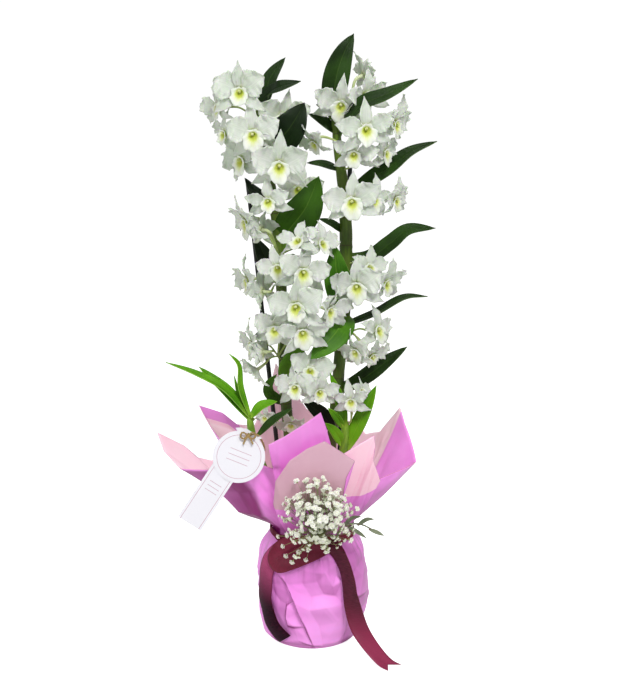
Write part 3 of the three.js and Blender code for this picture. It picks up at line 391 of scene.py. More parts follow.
throat = Finish("lip", Roughness=0.5, Subsurface_Weight=0.2, Subsurface_Radius=(0.6, 1.0, 0.4),
                Subsurface_Scale=0.003)
place = throat.use(STREAKS, Lines=40.0, Runs=1.0)
round_it = throat.times(place["Across"], 2 * math.pi)
warped = throat.plus(place["Along"], throat.times(place["Mask"], 0.1))
warped = throat.plus(warped, throat.times(throat.math("SINE", round_it), 0.07))
tint = throat.ramp(warped, [
    (0.0, rgb(170, 178, 62)), (0.3, rgb(184, 194, 78)), (0.5, rgb(200, 210, 118)), (0.66, rgb(214, 221, 178)),
    (0.8, rgb(218, 224, 206)), (1.0, rgb(221, 227, 216))])
# The lip emits a little of its own tint: painted light in its shaded throat.
throat.set(Base_Color=tint, Emission_Color=tint, Emission_Strength=0.1)
throat.bump(place["Mask"], 0.0002, 0.4)
lip_skin = throat.material
column_skin = smooth_tint("column", rgb(196, 206, 120), rgb(222, 228, 170), roughness=0.45,
                          subsurface=0.2).material
stalk_skin = smooth_tint("stalk", rgb(150, 172, 84), rgb(196, 208, 140), tip=(rgb(222, 230, 190), 0.55),
                         roughness=0.5, lines=6, runs=4, subsurface=0.1).material


def leaf_finishes(name, low, high, rib, below):
    """The upper face with its pale rib and fine veins, and the dull face below."""
    f = Finish(name, Roughness=0.4, Specular_IOR_Level=0.16)
    streak = f.use(STREAKS, Lines=46.0, Runs=1.5)
    mottle = f.use(MOTTLE, Scale=24.0)
    on_rib = f.smooth(f.off_middle(streak["Across"]), 0.03, 0.0)
    green = f.mix(mottle["Clouds"], low, high)
    green = f.mix(f.times(streak["Mask"], 0.35), green, high)
    green = f.mix(f.smooth(streak["Along"], 0.22, 0.0), green, rib)
    f.set(Base_Color=f.mix(f.times(on_rib, 0.3), green, rib))
    f.set(Roughness=f.plus(f.times(mottle["Grain"], 0.22), 0.24))
    veins = f.math("SUBTRACT", f.times(streak["Mask"], 0.4), on_rib)
    f.bump(veins, 0.0005, 0.5)
    under = smooth_tint(name + "_below", below, rib, lines=40, runs=1.5, roughness=0.6, height=0.0003)
    return [f.material, under.material]


# Each leaf finish: the upper face's two tints, the rib's, and the lower face's.
# The dark leaf is a painted-shade copy for leaves that lie in shade, and the front leaf a painted-light copy
# for the lit leaves in front.
SHADED_LEAF = leaf_finishes("painted_shade_leaf", rgb(10, 22, 8), rgb(26, 46, 16), rgb(64, 90, 36), rgb(62, 90, 40))
OLD_LEAF = leaf_finishes("old_leaf", rgb(20, 36, 12), rgb(44, 74, 22), rgb(84, 112, 46), rgb(62, 90, 40))
UPPER_LEAF = leaf_finishes("upper_leaf", rgb(30, 58, 10), rgb(56, 96, 18), rgb(108, 142, 54),
                           rgb(80, 120, 44))
LIT_LEAF = leaf_finishes("front_leaf", rgb(50, 98, 20), rgb(94, 148, 38), rgb(142, 178, 72),
                           rgb(98, 144, 54))
YOUNG_LEAF = leaf_finishes("young_leaf", rgb(58, 122, 12), rgb(112, 176, 26), rgb(164, 206, 70),
                           rgb(104, 160, 44))
LEAF_FINISHES = (SHADED_LEAF, OLD_LEAF, UPPER_LEAF, LIT_LEAF, YOUNG_LEAF)
print("leaf finishes:", [faces[0].name for faces in LEAF_FINISHES])

# %% Cane, young stem, rod, pot and bark
def cane_finish():
    """Green, streaked, paler and papery low on each length, and dark at its rings."""
    f = Finish("cane", Roughness=0.42, Specular_IOR_Level=0.45)
    streak = f.use(STREAKS, Lines=22.0, Runs=0.6)
    mottle = f.use(MOTTLE, Scale=16.0)
    step = f.math("FRACT", streak["Along"])
    green = f.mix(mottle["Clouds"], rgb(60, 86, 18), rgb(104, 132, 32))
    green = f.mix(f.times(streak["Mask"], 0.4), green, rgb(42, 60, 20))
    low = f.smooth(step, 0.75, 0.5)
    papery = f.times(low, f.times(streak["Mask"], 0.2))
    green = f.mix(papery, green, rgb(128, 134, 72))
    ring = f.smooth(f.off_middle(step), 0.46, 0.495)
    f.set(Base_Color=f.mix(f.times(ring, 0.7), green, rgb(70, 62, 28)))
    f.bump(streak["Mask"], 0.0006, 0.6)
    return f.material


def grained(name, low, high, scale, height, **settings):
    """Two tints in soft clouds, with a fine grain."""
    f = Finish(name, **settings)
    mottle = f.use(MOTTLE, Scale=scale)
    f.set(Base_Color=f.mix(mottle["Clouds"], low, high))
    f.bump(mottle["Grain"], height, 0.3)
    return f.material


cane_skin = cane_finish()
# The young stem's along value counts its seven lengths: painted shade darkens it from the root, inside the
# wrap, and fades out near the top.
young_stem = smooth_tint("young_stem", rgb(88, 134, 26), rgb(140, 184, 52), root=(rgb(34, 44, 20), 6.4),
                         lines=14, runs=3, roughness=0.4).material
coated_rod = grained("coated_rod", rgb(22, 24, 24), rgb(48, 52, 50), 60.0, 0.0002, Roughness=0.4,
                     Specular_IOR_Level=0.4)
pot_plastic = grained("pot_plastic", rgb(24, 24, 26), rgb(46, 46, 48), 40.0, 0.0003, Roughness=0.5)

bark_chip = Finish("bark_chip", Roughness=0.9)
mottle = bark_chip.use(MOTTLE, Scale=70.0)
bark_chip.set(Base_Color=bark_chip.ramp(mottle["Grain"], [
    (0.3, rgb(48, 32, 22)), (0.5, rgb(98, 68, 46)), (0.7, rgb(150, 116, 84))]))
bark_chip.bump(mottle["Grain"], 0.0015, 0.7)

# %% [markdown]
# ### Film, ribbon, card and twine
# The film is printed on one side only: bright pink-mauve outside, pale rose inside. It has a soft satin
# shine and many small creases. Light and shade are painted into its colour: painted light where a panel turns
# to the front and up, painted shade where it turns away or a fold lies in a hollow. Each film piece carries
# this painted shade as the first value of its own map, from 0, painted light, to 1, darkest painted shade.
# The ribbon is satin, with fine ribs across it and a line at each edge. Its tails carry painted light and
# shade along their length, and its ribs and edges a painted sheen.


# %% Wrapping finishes
def film(name, low, high, line, shade_colour, painted_glow):
    """Two tints in clouds, a third on the creases, painted shade where the map says so, and faint painted
    light it emits.
    """
    f = Finish(name, Roughness=0.3, Specular_IOR_Level=0.42, Coat_Weight=0.1, Coat_Roughness=0.2,
               Subsurface_Weight=0.05, Subsurface_Radius=(1.0, 0.5, 0.8), Subsurface_Scale=0.002,
               Emission_Strength=painted_glow)
    mottle = f.use(MOTTLE, Scale=7.0)
    crease = f.use(CREASES, Scale=20.0)
    colour = f.mix(mottle["Clouds"], low, high)
    colour = f.mix(f.times(crease["Line"], 0.05), colour, line)
    colour = f.mix(f.use(STREAKS)["Across"], colour, shade_colour)
    f.set(Base_Color=colour, Emission_Color=colour)
    f.set(Roughness=f.plus(f.times(mottle["Grain"], 0.16), 0.24))
    f.bump(crease["Height"], 0.0012, 0.35)
    return f.material


# Each film: two tints, the crease tint, the painted shade tint, and how strongly it emits its painted light.
film_outside = film("film_outside", rgb(247, 142, 233), rgb(255, 170, 246), rgb(255, 196, 250),
                    rgb(136, 34, 108), painted_glow=0.08)
film_inside = film("film_inside", rgb(252, 206, 220), rgb(255, 226, 236), rgb(255, 236, 242),
                   rgb(214, 132, 168), painted_glow=0.12)
# The front fold uses a darker, greyer copy of the inside film.
film_inside_darker = film("film_inside_darker", rgb(212, 168, 184), rgb(228, 192, 206), rgb(240, 214, 224),
                    rgb(176, 116, 140), painted_glow=0.03)


def satin_ribbon(name, start, end, shine, turn=(0.1, 0.9), gloss=0.2):
    """Satin that goes from one wine tone to another along its length, within turn; ribs and edges take shine,
    a painted sheen.
    """
    f = Finish(name, Roughness=0.4, Specular_IOR_Level=gloss, Anisotropic=0.4)
    streak = f.use(STREAKS, Lines=3.0, Runs=160.0)
    wine = f.mix(f.smooth(streak["Along"], *turn), start, end)
    wine = f.mix(f.times(streak["Mask"], 0.25), wine, shine)
    edge = f.smooth(f.off_middle(streak["Across"]), 0.46, 0.485)
    f.set(Base_Color=f.mix(f.times(edge, 0.35), wine, shine))
    f.bump(f.plus(streak["Mask"], edge), 0.0002, 0.35)
    return f.material


satin = satin_ribbon("satin_ribbon", rgb(126, 34, 58), rgb(108, 28, 50), rgb(142, 50, 78))
# The left tail is painted light at its top and painted shade below; the right tail is painted shade at its
# top and painted light below.
satin_left = satin_ribbon("satin_shaded", rgb(198, 86, 134), rgb(26, 4, 18), rgb(96, 30, 56),
                          turn=(0.2, 0.72), gloss=0.06)
satin_right = satin_ribbon("satin_lit", rgb(70, 16, 32), rgb(156, 52, 86), rgb(128, 48, 76),
                           turn=(0.4, 0.85))

CARD_MARKS = 60  # the cards' own map: mm to one unit


def card_print(name, marks):
    """White card with a few printed marks, given as a mask over its own width and length in mm."""
    f = Finish(name, Roughness=0.62)
    grain = f.use(MOTTLE, Scale=110.0)["Grain"]
    place = f.use(STREAKS)
    x = f.times(f.math("SUBTRACT", place["Across"], 0.5), CARD_MARKS)
    y = f.times(place["Along"], CARD_MARKS)
    white = f.mix(grain, rgb(234, 233, 240), rgb(242, 241, 246))
    f.set(Base_Color=f.mix(f.times(marks(f, x, y), 0.75), white, rgb(182, 122, 146)))
    f.bump(grain, 0.0001, 0.2)
    return f.material


def thin_line(f, value, place, half=0.22):
    """1 where a value is within half a line's width of its place."""
    return f.smooth(f.math("ABSOLUTE", f.math("SUBTRACT", value, place)), half * 1.6, half)


def rules(f, x, y, heights, half):
    """Short level lines, one below the other."""
    lines = thin_line(f, y, heights[0])
    for height in heights[1:]:
        lines = f.math("MAXIMUM", lines, thin_line(f, y, height))
    return f.times(lines, f.smooth(f.math("ABSOLUTE", x), half + 0.3, half))


def round_marks(f, x, y):
    """A ring, and three rules inside it."""
    below = f.plus(y, 25.0)
    far = f.math("SQRT", f.plus(f.times(x, x), f.times(below, below)))
    return f.math("MAXIMUM", thin_line(f, far, 23.5), rules(f, x, y, (-19.0, -25.0, -31.0), 12.0))


def strip_marks(f, x, y):
    """A line along each edge, and three rules between."""
    sides = thin_line(f, f.math("ABSOLUTE", x), 11.5)
    return f.math("MAXIMUM", sides, rules(f, x, y, (-62.0, -67.0, -72.0), 7.0))


card_round_print = card_print("card_round_print", round_marks)
card_strip_print = card_print("card_strip_print", strip_marks)
card_edge = card_print("card_edge", lambda f, x, y: 0.0)

jute = smooth_tint("jute", rgb(140, 112, 66), rgb(192, 164, 108), lines=6, runs=90, roughness=0.9,
                   height=0.0004).material
# The florets emit a little light of their own: painted light in the shaded cloud.
floret_white = smooth_tint("floret", rgb(236, 240, 218), rgb(255, 255, 248), root=(rgb(206, 220, 160), 0.3),
                           roughness=0.7, lines=8, clouds=60, subsurface=0.35, Emission_Strength=0.08,
                           Emission_Color=rgb(236, 242, 222)).material
breath_stem = smooth_tint("breath_stem", rgb(110, 124, 66), rgb(158, 168, 108), roughness=0.6,
                          runs=8).material
sprig_skin = smooth_tint("sprig_leaf", rgb(96, 108, 82), rgb(142, 150, 122), root=(rgb(104, 84, 62), 0.2),
                         roughness=0.65, clouds=60).material
print("finishes:", len(bpy.data.materials))

# %% [markdown]
# ## Canes
# A dendrobium cane is a chain of swollen lengths with a ring where each leaf once clasped it. We draw the rod
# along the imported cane's own line, swell it between the rings and raise a low ridge at each. The strip's
# along value counts the lengths, so that the finish can darken each ring.

# %% Build the canes
CANES = {
    "left": ([[-16, 4, 34], [-19, 3, 110], [-26, 0, 231], [-30, 0, 290], [-31, 0, 340], [-33, 1, 395],
              [-37, 2, 460], [-44, 2, 520], [-52, 3, 570], [-58, 3, 606]],
             [4.6, 5, 5.4, 5.8, 6.8, 6.6, 6, 5.4, 4.6, 3.4]),
    "right": ([[19, 10, 34], [20, 10, 110], [23, 10, 228], [29, 10, 293], [35, 10, 368], [38, 10, 447],
               [36, 10, 502], [29, 10, 556], [24, 10, 600]],
              [4.8, 5.2, 5.6, 6, 7, 8, 7.4, 6, 3.8]),
}
CANE_LENGTHS = 19


def swollen(points, radii, lengths, rows=190, ring=0.09, swell=0.07):
    """The cane's line, and its radius: swollen between the rings, ridged at them, round at the top."""
    line, _ = smooth_line(points, rows)
    step = np.linspace(0, lengths, rows) % 1
    near = np.minimum(step, 1 - step)
    wave = 1 - swell + swell * np.sin(math.pi * step) + ring * np.exp(-(near / 0.05) ** 2)
    radius = along(radii, rows) * wave
    radius[-4:] *= [0.95, 0.85, 0.65, 0.35]
    return line, radius


for side, (points, radii) in CANES.items():
    form = Form()
    line, radius = swollen(points, radii, CANE_LENGTHS)
    form.rod(line, radius, sides=20, rows=len(line), span=(1, CANE_LENGTHS))
    form.make("cane_" + side + "_skin", [cane_skin], ["cane_" + side])
print("canes with", CANE_LENGTHS, "lengths each")

# %% [markdown]
# ## Support rods, pot and bark
# The rods are plain coated canes, so a finer rod replaces each faceted one. The pot is right as it is and
# only needs its plastic. The bark is seen from above through the neck of the wrap: a low mound under loose
# chips.

# %% Build the rods, and give the pot its plastic
STAKES = {"left": [[-21, 17, 22], [-70, 17, 520]], "right": [[26, 18, 22], [43, 24, 560]]}
ROD_RADIUS = 2.6
for side, ends in STAKES.items():
    form = Form()
    form.rod(ends, [ROD_RADIUS, ROD_RADIUS], sides=20, rows=40)
    form.make("rod_" + side, [coated_rod], ["stake_" + side])
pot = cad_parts["nursery_pot"]
pot.data.materials.clear()
pot.data.materials.append(pot_plastic)

# %% Build the bark
BARK_RADIUS, BARK_LOW, BARK_TOP = 52, 6, 86
BARK_CHIPS, CHIP_REACH = 300, 44  # chips that lie further out than this are drawn in a little
rng = np.random.default_rng(5)
form = Form()
turn = np.linspace(0, 2 * math.pi, 48, endpoint=False)
profile = [(0.01, BARK_LOW), (40.5, BARK_LOW), (BARK_RADIUS * 0.985, BARK_TOP - 4),
           (BARK_RADIUS * 0.9, BARK_TOP), (BARK_RADIUS * 0.6, BARK_TOP + 2),
           (BARK_RADIUS * 0.3, BARK_TOP + 3), (0.01, BARK_TOP + 3)]
form.strip(np.array([[[r * math.cos(a), r * math.sin(a), z] for a in turn] for r, z in profile]), closed=True)
for _ in range(BARK_CHIPS):
    reach, angle = BARK_RADIUS * 0.93 * math.sqrt(rng.random()), 2 * math.pi * rng.random()
    centre = vec(reach * math.cos(angle), reach * math.sin(angle), BARK_TOP + 2 + 3 * rng.random())
    axes, _ = np.linalg.qr(rng.normal(size=(3, 3)))
    sizes = vec(3 + 4 * rng.random(), 2 + 3 * rng.random(), 1 + 1.5 * rng.random())
    if reach > CHIP_REACH:
        centre[:2] *= 0.93
    form.blob(centre, sizes, axes, rows=4, sides=6)
form.make("bark_chips", [bark_chip.material], ["bark"], smooth=False)
print("bark chips:", BARK_CHIPS)

# %% [markdown]
# ## Leaves
# A blade is a strip along a smooth spine, folded a little along its rib, with a groove at the rib and a
# gentle wave at its edges. The upper face and the lower face have their own finish.

# %% The blade
LEAF_THICKNESS = 1.0


def blade(form, spine, width, face, fold, rows=34, cols=13, wave=0.05, thickness=LEAF_THICKNESS, finish=0,
          phase=0.0):
    """A leaf. face is where its upper side looks at the root and at the tip, fold is in degrees."""
    line, ahead = smooth_line(spine, rows)
    t = np.linspace(0, 1, rows)[:, None]
    look = vec(*face[0]) * (1 - t) + vec(*face[1]) * t
    across = unit(np.cross(ahead, look))
    up = np.cross(across, ahead)
    half = width / 2 * np.maximum(0.06, np.sin(math.pi * (0.1 + 0.9 * t)) ** 0.8)
    half[-1] = 0.15
    half[-2] *= 0.8
    side = np.linspace(-1, 1, cols)[None, :]
    bent = np.sqrt(side**2 + 0.012) - 0.11
    groove = -0.5 * np.exp(-(side / 0.09) ** 2) * np.minimum(1, half / 4)
    ripple = wave * half * side**2 * np.sin(2 * math.pi * (1.7 * t + 0.25 * np.sign(side)) + phase)
    fold = math.radians(fold)
    grid = (line[:, None] + across[:, None] * (side * half * math.cos(fold))[..., None]
            + up[:, None] * (bent * half * math.sin(fold) + groove + ripple)[..., None])
    form.sheet(grid, thickness, finish, finish + 1)


# %% Where the leaves are
# Each leaf: its spine, its width, where its upper side looks at the root and at the tip, and its fold.
LEAVES = {
    "left_top": ([[-56, 4, 592], [-51, 10, 612], [-44, 12, 632], [-28, 16, 653]], 17,
                 [[0, -1, 0.3], [0, -1, 0.2]], 14),
    "left_bent": ([[-56, 4, 593], [-53, 3, 606], [-45, -2, 615], [-33, -16, 621], [-11, -12, 627]], 17,
                  [[-0.3, -1, 0.4], [0, -0.9, 0.8]], 18),
    "left_dark": ([[-50, 2, 548], [-38, -12, 562], [-22, -19, 580], [-7, -16, 605]], 38,
                  [[0.2, -1, 0.2], [0.1, -1, 0.1]], 12),
    "left_large": ([[-37, 4, 452], [-25, -4, 470], [-6, -17, 496], [8, -24, 529]], 41,
                   [[0.1, -1, 0.25], [0.2, -1, 0.15]], 12),
    "left_bit": ([[-43, 2, 500], [-63, 8, 513], [-73, 9, 526]], 11, [[0, -1, 0.4], [-0.2, -1, 0.4]], 15),
    "left_shade": ([[-35, 1, 416], [-50, 7, 438], [-63, 8, 462]], 19, [[-0.1, -1, 0.3], [-0.2, -1, 0.2]], 15),
    "left_low": ([[-30, 0, 297], [-23, -13, 323], [-8, -16, 348]], 25, [[0.2, -1, 0.3], [0.2, -1, 0.2]], 14),
    "left_round": ([[-29, 0, 274], [-47, -9, 288], [-48, -13, 299], [-39, -13, 311]], 13,
                   [[0, -1, 0.2], [0, -1, 0]], 12),
    "right_tip": ([[25, 10, 588], [24, 9, 614], [28, 7, 638], [35, 6, 658], [45, 9, 677]], 29,
                  [[-0.1, -1, 0.1], [0, -1, 0]], 12),
    "right_arch": ([[28, 10, 562], [38, -15, 586], [53, -27, 603], [76, -29, 612], [111, -20, 629]], 19,
                   [[-0.5, -0.6, 0.7], [0.1, -1, 0.5]], 18),
    "right_upper": ([[36, 10, 502], [60, 12, 521], [86, 12, 538], [108, 10, 554], [136, 10, 565]], 20,
                    [[-0.3, -1, 0.3], [-0.2, -0.8, 0.9]], 16),
    "right_mid": ([[38, 10, 439], [64, 5, 440], [86, 3, 455], [105, 2, 470], [136, 2, 472]], 19,
                  [[-0.2, -0.9, 0.6], [0.1, -1, 0.5]], 18),
    "right_lower": ([[35, 10, 362], [70, 6, 376], [104, 4, 395], [129, 4, 396]], 15,
                    [[-0.2, -0.45, 1], [0, -0.45, 1]], 14),
    "right_foot": ([[29, 10, 286], [57, 3, 302], [82, 1, 321], [107, 0, 340]], 20,
                   [[-0.4, -1, 0.5], [-0.2, -1, 0.6]], 16),
    "right_spur": ([[25, 10, 592], [14, 17, 599], [5, 20, 604]], 7, [[0, -0.6, 1], [0, -0.6, 1]], 14),
    "right_stub": ([[27, 10, 574], [12, 13, 587], [-3, 15, 594]], 12, [[0, -1, 0.6], [0, -1, 0.6]], 14),
    "right_back": ([[32, 10, 534], [12, 12, 541], [-5, 12, 542]], 9, [[0, -1, 0.6], [0, -1, 0.6]], 14),
    "right_inner": ([[37, 10, 466], [22, 6, 477], [8, 6, 482]], 9, [[0, -1, 0.6], [0, -1, 0.6]], 14),
    "front_upper": ([[36, 10, 386], [31, -12, 404], [27, -20, 426], [25, -20, 456]], 31,
                    [[0.1, -1, 0.5], [0, -1, 0.1]], 10),
    "front_lower": ([[35, 10, 376], [31, -18, 366], [16, -33, 350], [-1, -39, 334]], 33,
                    [[0.3, -0.8, 0.8], [-0.1, -1, 0.3]], 10),
    "foot_dark": ([[24, 10, 240], [12, -4, 262], [-11, -4, 280]], 18, [[-0.4, -1, 0.4], [-0.3, -1, 0.5]], 12),
}
# A leaf's name holds one of these words, or else it is an old leaf.
TINTS = {"front": LIT_LEAF, "low": LIT_LEAF, "round": UPPER_LEAF, "large": UPPER_LEAF, "dark": SHADED_LEAF,
         "shade": SHADED_LEAF, "bit": SHADED_LEAF, "bent": SHADED_LEAF}

# %% Build the leaves
for order, (name, (spine, width, face, fold)) in enumerate(LEAVES.items()):
    finish = next((TINTS[word] for word in name.split("_") if word in TINTS), OLD_LEAF)
    form = Form()
    blade(form, spine, width, face, fold, phase=1.7 * order)
    form.make("blade_" + name, finish, ["leaf_" + name])
print("leaves:", len(LEAVES))

# %% [markdown]
# ## Young shoots
# Two young plants grow at the foot, each a short stem with bright narrow leaves that clasp it.

# %% Build the young shoots
# Each shoot: its stem, the stem's radii, and its leaves as spine, width, where they look, and fold.
SHOOTS = {
    "left": ([[-24, -12, 70], [-29, -20, 132], [-46, -33, 190], [-62, -45, 236], [-68, -48, 273]],
             [2.6, 2.8, 3.4, 5.0, 3.8],
             [([[-66, -48, 270], [-95, -55, 306], [-124, -58, 323], [-155, -58, 335]], 10,
               [[0.5, -0.5, 0.7], [0.2, -0.6, 0.8]], 20),
              ([[-64, -46, 266], [-92, -46, 300], [-122, -43, 327]], 15,
               [[0.5, -1, 0.4], [0.4, -0.8, 0.6]], 26),
              ([[-67, -48, 272], [-77, -51, 306], [-78, -55, 332], [-87, -61, 345]], 9,
               [[1, -0.6, 0], [0.8, -0.8, 0.3]], 20),
              ([[-67, -47, 274], [-79, -46, 298], [-84, -44, 318]], 4.5, [[0, -1, 0], [0, -1, 0]], 10),
              ([[-66, -49, 272], [-53, -56, 287], [-37, -54, 291]], 12,
               [[-0.3, -0.8, 0.7], [0, -0.7, 0.7]], 18),
              ([[-59, -46, 250], [-42, -49, 268], [-21, -46, 281]], 10,
               [[-0.5, -0.7, 0.5], [0, -0.7, 0.8]], 18)]),
    "right": ([[24, -10, 70], [27, -15, 140], [36, -24, 231], [38, -25, 262]], [2.8, 3.4, 5.4, 4.4],
              [([[37, -27, 252], [32, -36, 284], [20, -43, 320]], 12, [[-0.2, -1, 0.1], [0, -1, 0.1]], 14),
               ([[38, -23, 226], [58, -29, 272], [71, -31, 303]], 18, [[-0.4, -1, 0.2], [-0.3, -1, 0.2]], 16),
               ([[36, -26, 252], [27, -33, 268], [18, -38, 279]], 9, [[-0.4, -1, 0.4], [-0.2, -1, 0.5]], 14),
               ([[35, -25, 232], [26, -33, 250], [15, -38, 262]], 12, [[0.1, -1, 0.4], [0, -1, 0.5]], 14)]),
}
SHOOT_LENGTHS = 7
for side, (stem, radii, blades) in SHOOTS.items():
    form = Form()
    line, radius = swollen(stem, radii, SHOOT_LENGTHS, rows=90, ring=0.06, swell=0.05)
    form.rod(line, radius, sides=16, rows=len(line), finish=2, span=(1, SHOOT_LENGTHS))
    for order, (spine, width, face, fold) in enumerate(blades):
        old = side == "left" and order == len(blades) - 1
        blade(form, spine, width, face, fold, rows=26, cols=9, wave=0.03, finish=3 if old else 0, phase=order)
    form.make("young_plant_" + side, [*YOUNG_LEAF, young_stem, *OLD_LEAF], ["shoot_" + side])
print("young shoots:", len(SHOOTS))

# %% [markdown]
# ## Blooms
# Each bloom has three narrow pointed sepals, two broad ruffled petals, and a lip that rolls into a funnel
# with a frilled rim round the short column. All of it is made of strips round the bloom's own axes: out of
# the throat, to its right, and up. Small seeded differences keep the blooms from looking stamped.


# %% The parts of a bloom
class Axes:
    """A bloom's throat, and the ways out of it, to its right and up. Angles are in degrees."""

    def __init__(self, x, y, z, azimuth, elevation, roll):
        a, e, r = (math.radians(v) for v in (azimuth, elevation, roll))
        self.throat = vec(x, y, z)
        self.out = vec(math.sin(a) * math.cos(e), -math.cos(a) * math.cos(e), math.sin(e))
        right = unit(np.cross([0, 0, 1], self.out))
        self.right = right * math.cos(r) + np.cross(self.out, right) * math.sin(r)
        self.up = np.cross(self.out, self.right)

    def place(self, along_right, along_up, forward):
        parts = ((along_right, self.right), (along_up, self.up), (forward, self.out))
        return self.throat + sum(np.asarray(size)[..., None] * way for size, way in parts)


PETAL_THICKNESS = 0.6


def tepal(form, axes, reach, angle, length, half, cup, bend, point, ruffle, twist, rows, cols, phase):
    """One sepal or petal, from near the throat to its tip."""
    s = np.linspace(0, 1, rows)[:, None]
    side = np.linspace(-1, 1, cols)[None, :]
    shape = np.maximum(np.sin(math.pi * np.minimum(s, 0.999) ** point[0]) ** point[1], 0.42 * (1 - s) ** 2)
    shape[-1] = 0.02
    edge = 1 + 0.5 * ruffle * np.sin(2 * math.pi * 5.3 * s + phase)
    edge = edge + 0.25 * ruffle * np.sin(2 * math.pi * 9 * s)
    width = half * reach * shape * side * edge
    frill = ruffle * reach * np.abs(side) ** 1.4 * np.sqrt(s) * (
        np.sin(2 * math.pi * (2.3 * s + 0.31 * np.sign(side)) + phase)
        + 0.6 * np.sin(2 * math.pi * 5.1 * s + 2 * phase + 2 * side))
    hollow = 0.1 * reach * side**2 * shape * half / 0.4
    radial = reach * (0.1 + (length - 0.1) * s)
    forward = reach * length * (cup * s - bend * s**2) + frill + hollow
    turn = twist * s
    rise = forward + width * np.sin(turn)
    width = width * np.cos(turn)
    c, d = math.cos(math.radians(angle)), math.sin(math.radians(angle))
    form.sheet(axes.place(radial * c - width * d, radial * d + width * c, rise), PETAL_THICKNESS, 0, 0)


def funnel_lip(form, axes, reach, phase, open_by, rows=18, sides=44):
    """The rolled lip: a tube that opens wide, with a frilled rim that turns back."""
    v = np.linspace(0, 1, rows)[:, None]
    turn = np.linspace(0, 2 * math.pi, sides, endpoint=False)[None, :]
    flare = np.clip((v - 0.55) / 0.45, 0, 1) ** 1.6
    frill = flare * (np.sin(7 * turn + phase) + 0.9 * np.sin(4 * turn + 2 * phase) + 0.5 * np.sin(13 * turn))
    lower = 0.5 - 0.5 * np.sin(turn)
    point = 0.11 * np.maximum(0, -np.sin(turn)) ** 6
    radius = reach * (0.05 + 0.2 * v**0.8 + (0.04 + 0.15 * lower + point) * flare * open_by + 0.02 * frill)
    forward = reach * ((0.19 + 0.09 * lower) * v**0.9 - 0.05 * flare * open_by + 0.03 * frill)
    drop = -0.09 * reach * v
    grid = axes.place(radius * np.cos(turn), radius * np.sin(turn) + drop, forward)
    form.sheet(grid, PETAL_THICKNESS, 1, 1, closed=True)


def column(form, axes, reach):
    tip = axes.place(0, 0.04 * reach, 0.17 * reach)
    form.rod([axes.place(0, 0, 0), axes.place(0, 0.03 * reach, 0.09 * reach), tip],
             [0.04 * reach, 0.045 * reach, 0.055 * reach], sides=10, finish=2, rows=6)
    form.blob(tip, (0.058 * reach, 0.05 * reach, 0.05 * reach), [axes.right, axes.up, axes.out], finish=2)


# %% A whole bloom, and its stalk
SEPALS = ((90, 0.2, 0.34), (212, 0.14, 0.4), (328, 0.14, 0.4))  # angle, cup and bend
PETALS = (22, 158)
FULLNESS = ([19, 22, 26, 28], [1.12, 1.22, 1.22, 1.04])  # listed reaches, and a factor on each
LARGE = 26


def bloom(form, spec, rng):
    """One bloom. Some are half closed, and the large ones have the fullest petals."""
    axes, size = Axes(*spec[:6]), spec[6]
    reach = size * np.interp(size, *FULLNESS)
    closed = rng.choice([0.0, 0.0, 0.12, 0.3])
    full = 0.05 if size > LARGE else rng.choice([-0.12, -0.05, 0.0])
    for angle, cup, bend in SEPALS:
        tepal(form, axes, reach, angle=angle + rng.uniform(-8, 8), length=rng.uniform(1.02, 1.2), half=0.235,
              cup=cup + closed, bend=bend + rng.uniform(-0.16, 0.16), point=(0.72, 1.0), ruffle=0.04,
              twist=rng.uniform(-1.1, 1.1), rows=18, cols=9, phase=rng.uniform(0, 6))
    for angle in PETALS:
        tepal(form, axes, reach, angle=angle + rng.uniform(-8, 8), length=rng.uniform(0.98, 1.1),
              half=rng.uniform(0.38, 0.48) + full, cup=0.34 + closed, bend=0.36 + rng.uniform(-0.12, 0.12),
              point=(0.88, 0.86), ruffle=0.085, twist=rng.uniform(-0.45, 0.45), rows=24, cols=15,
              phase=rng.uniform(0, 6))
    funnel_lip(form, axes, reach, rng.uniform(0, 6), rng.uniform(0.5, 1.0))
    column(form, axes, reach)
    return axes, reach


def stalk(form, axes, reach, start):
    """From its start to the bloom's throat, where it is thickest. Returns its route."""
    behind = axes.throat - axes.out * 0.42 * reach
    bow = (behind + start[-1]) / 2 + vec(0, 0, 3)
    points = [*start, bow, behind, axes.throat]
    form.rod(points, [1.0, 1.0, 1.2, 1.6, 2.2], sides=8, finish=3, rows=18)
    return points


def on_line(points, height):
    """The place on a cane's line at a height."""
    points = np.array(points, float)
    return np.array([np.interp(height, points[:, 2], points[:, k]) for k in range(3)])


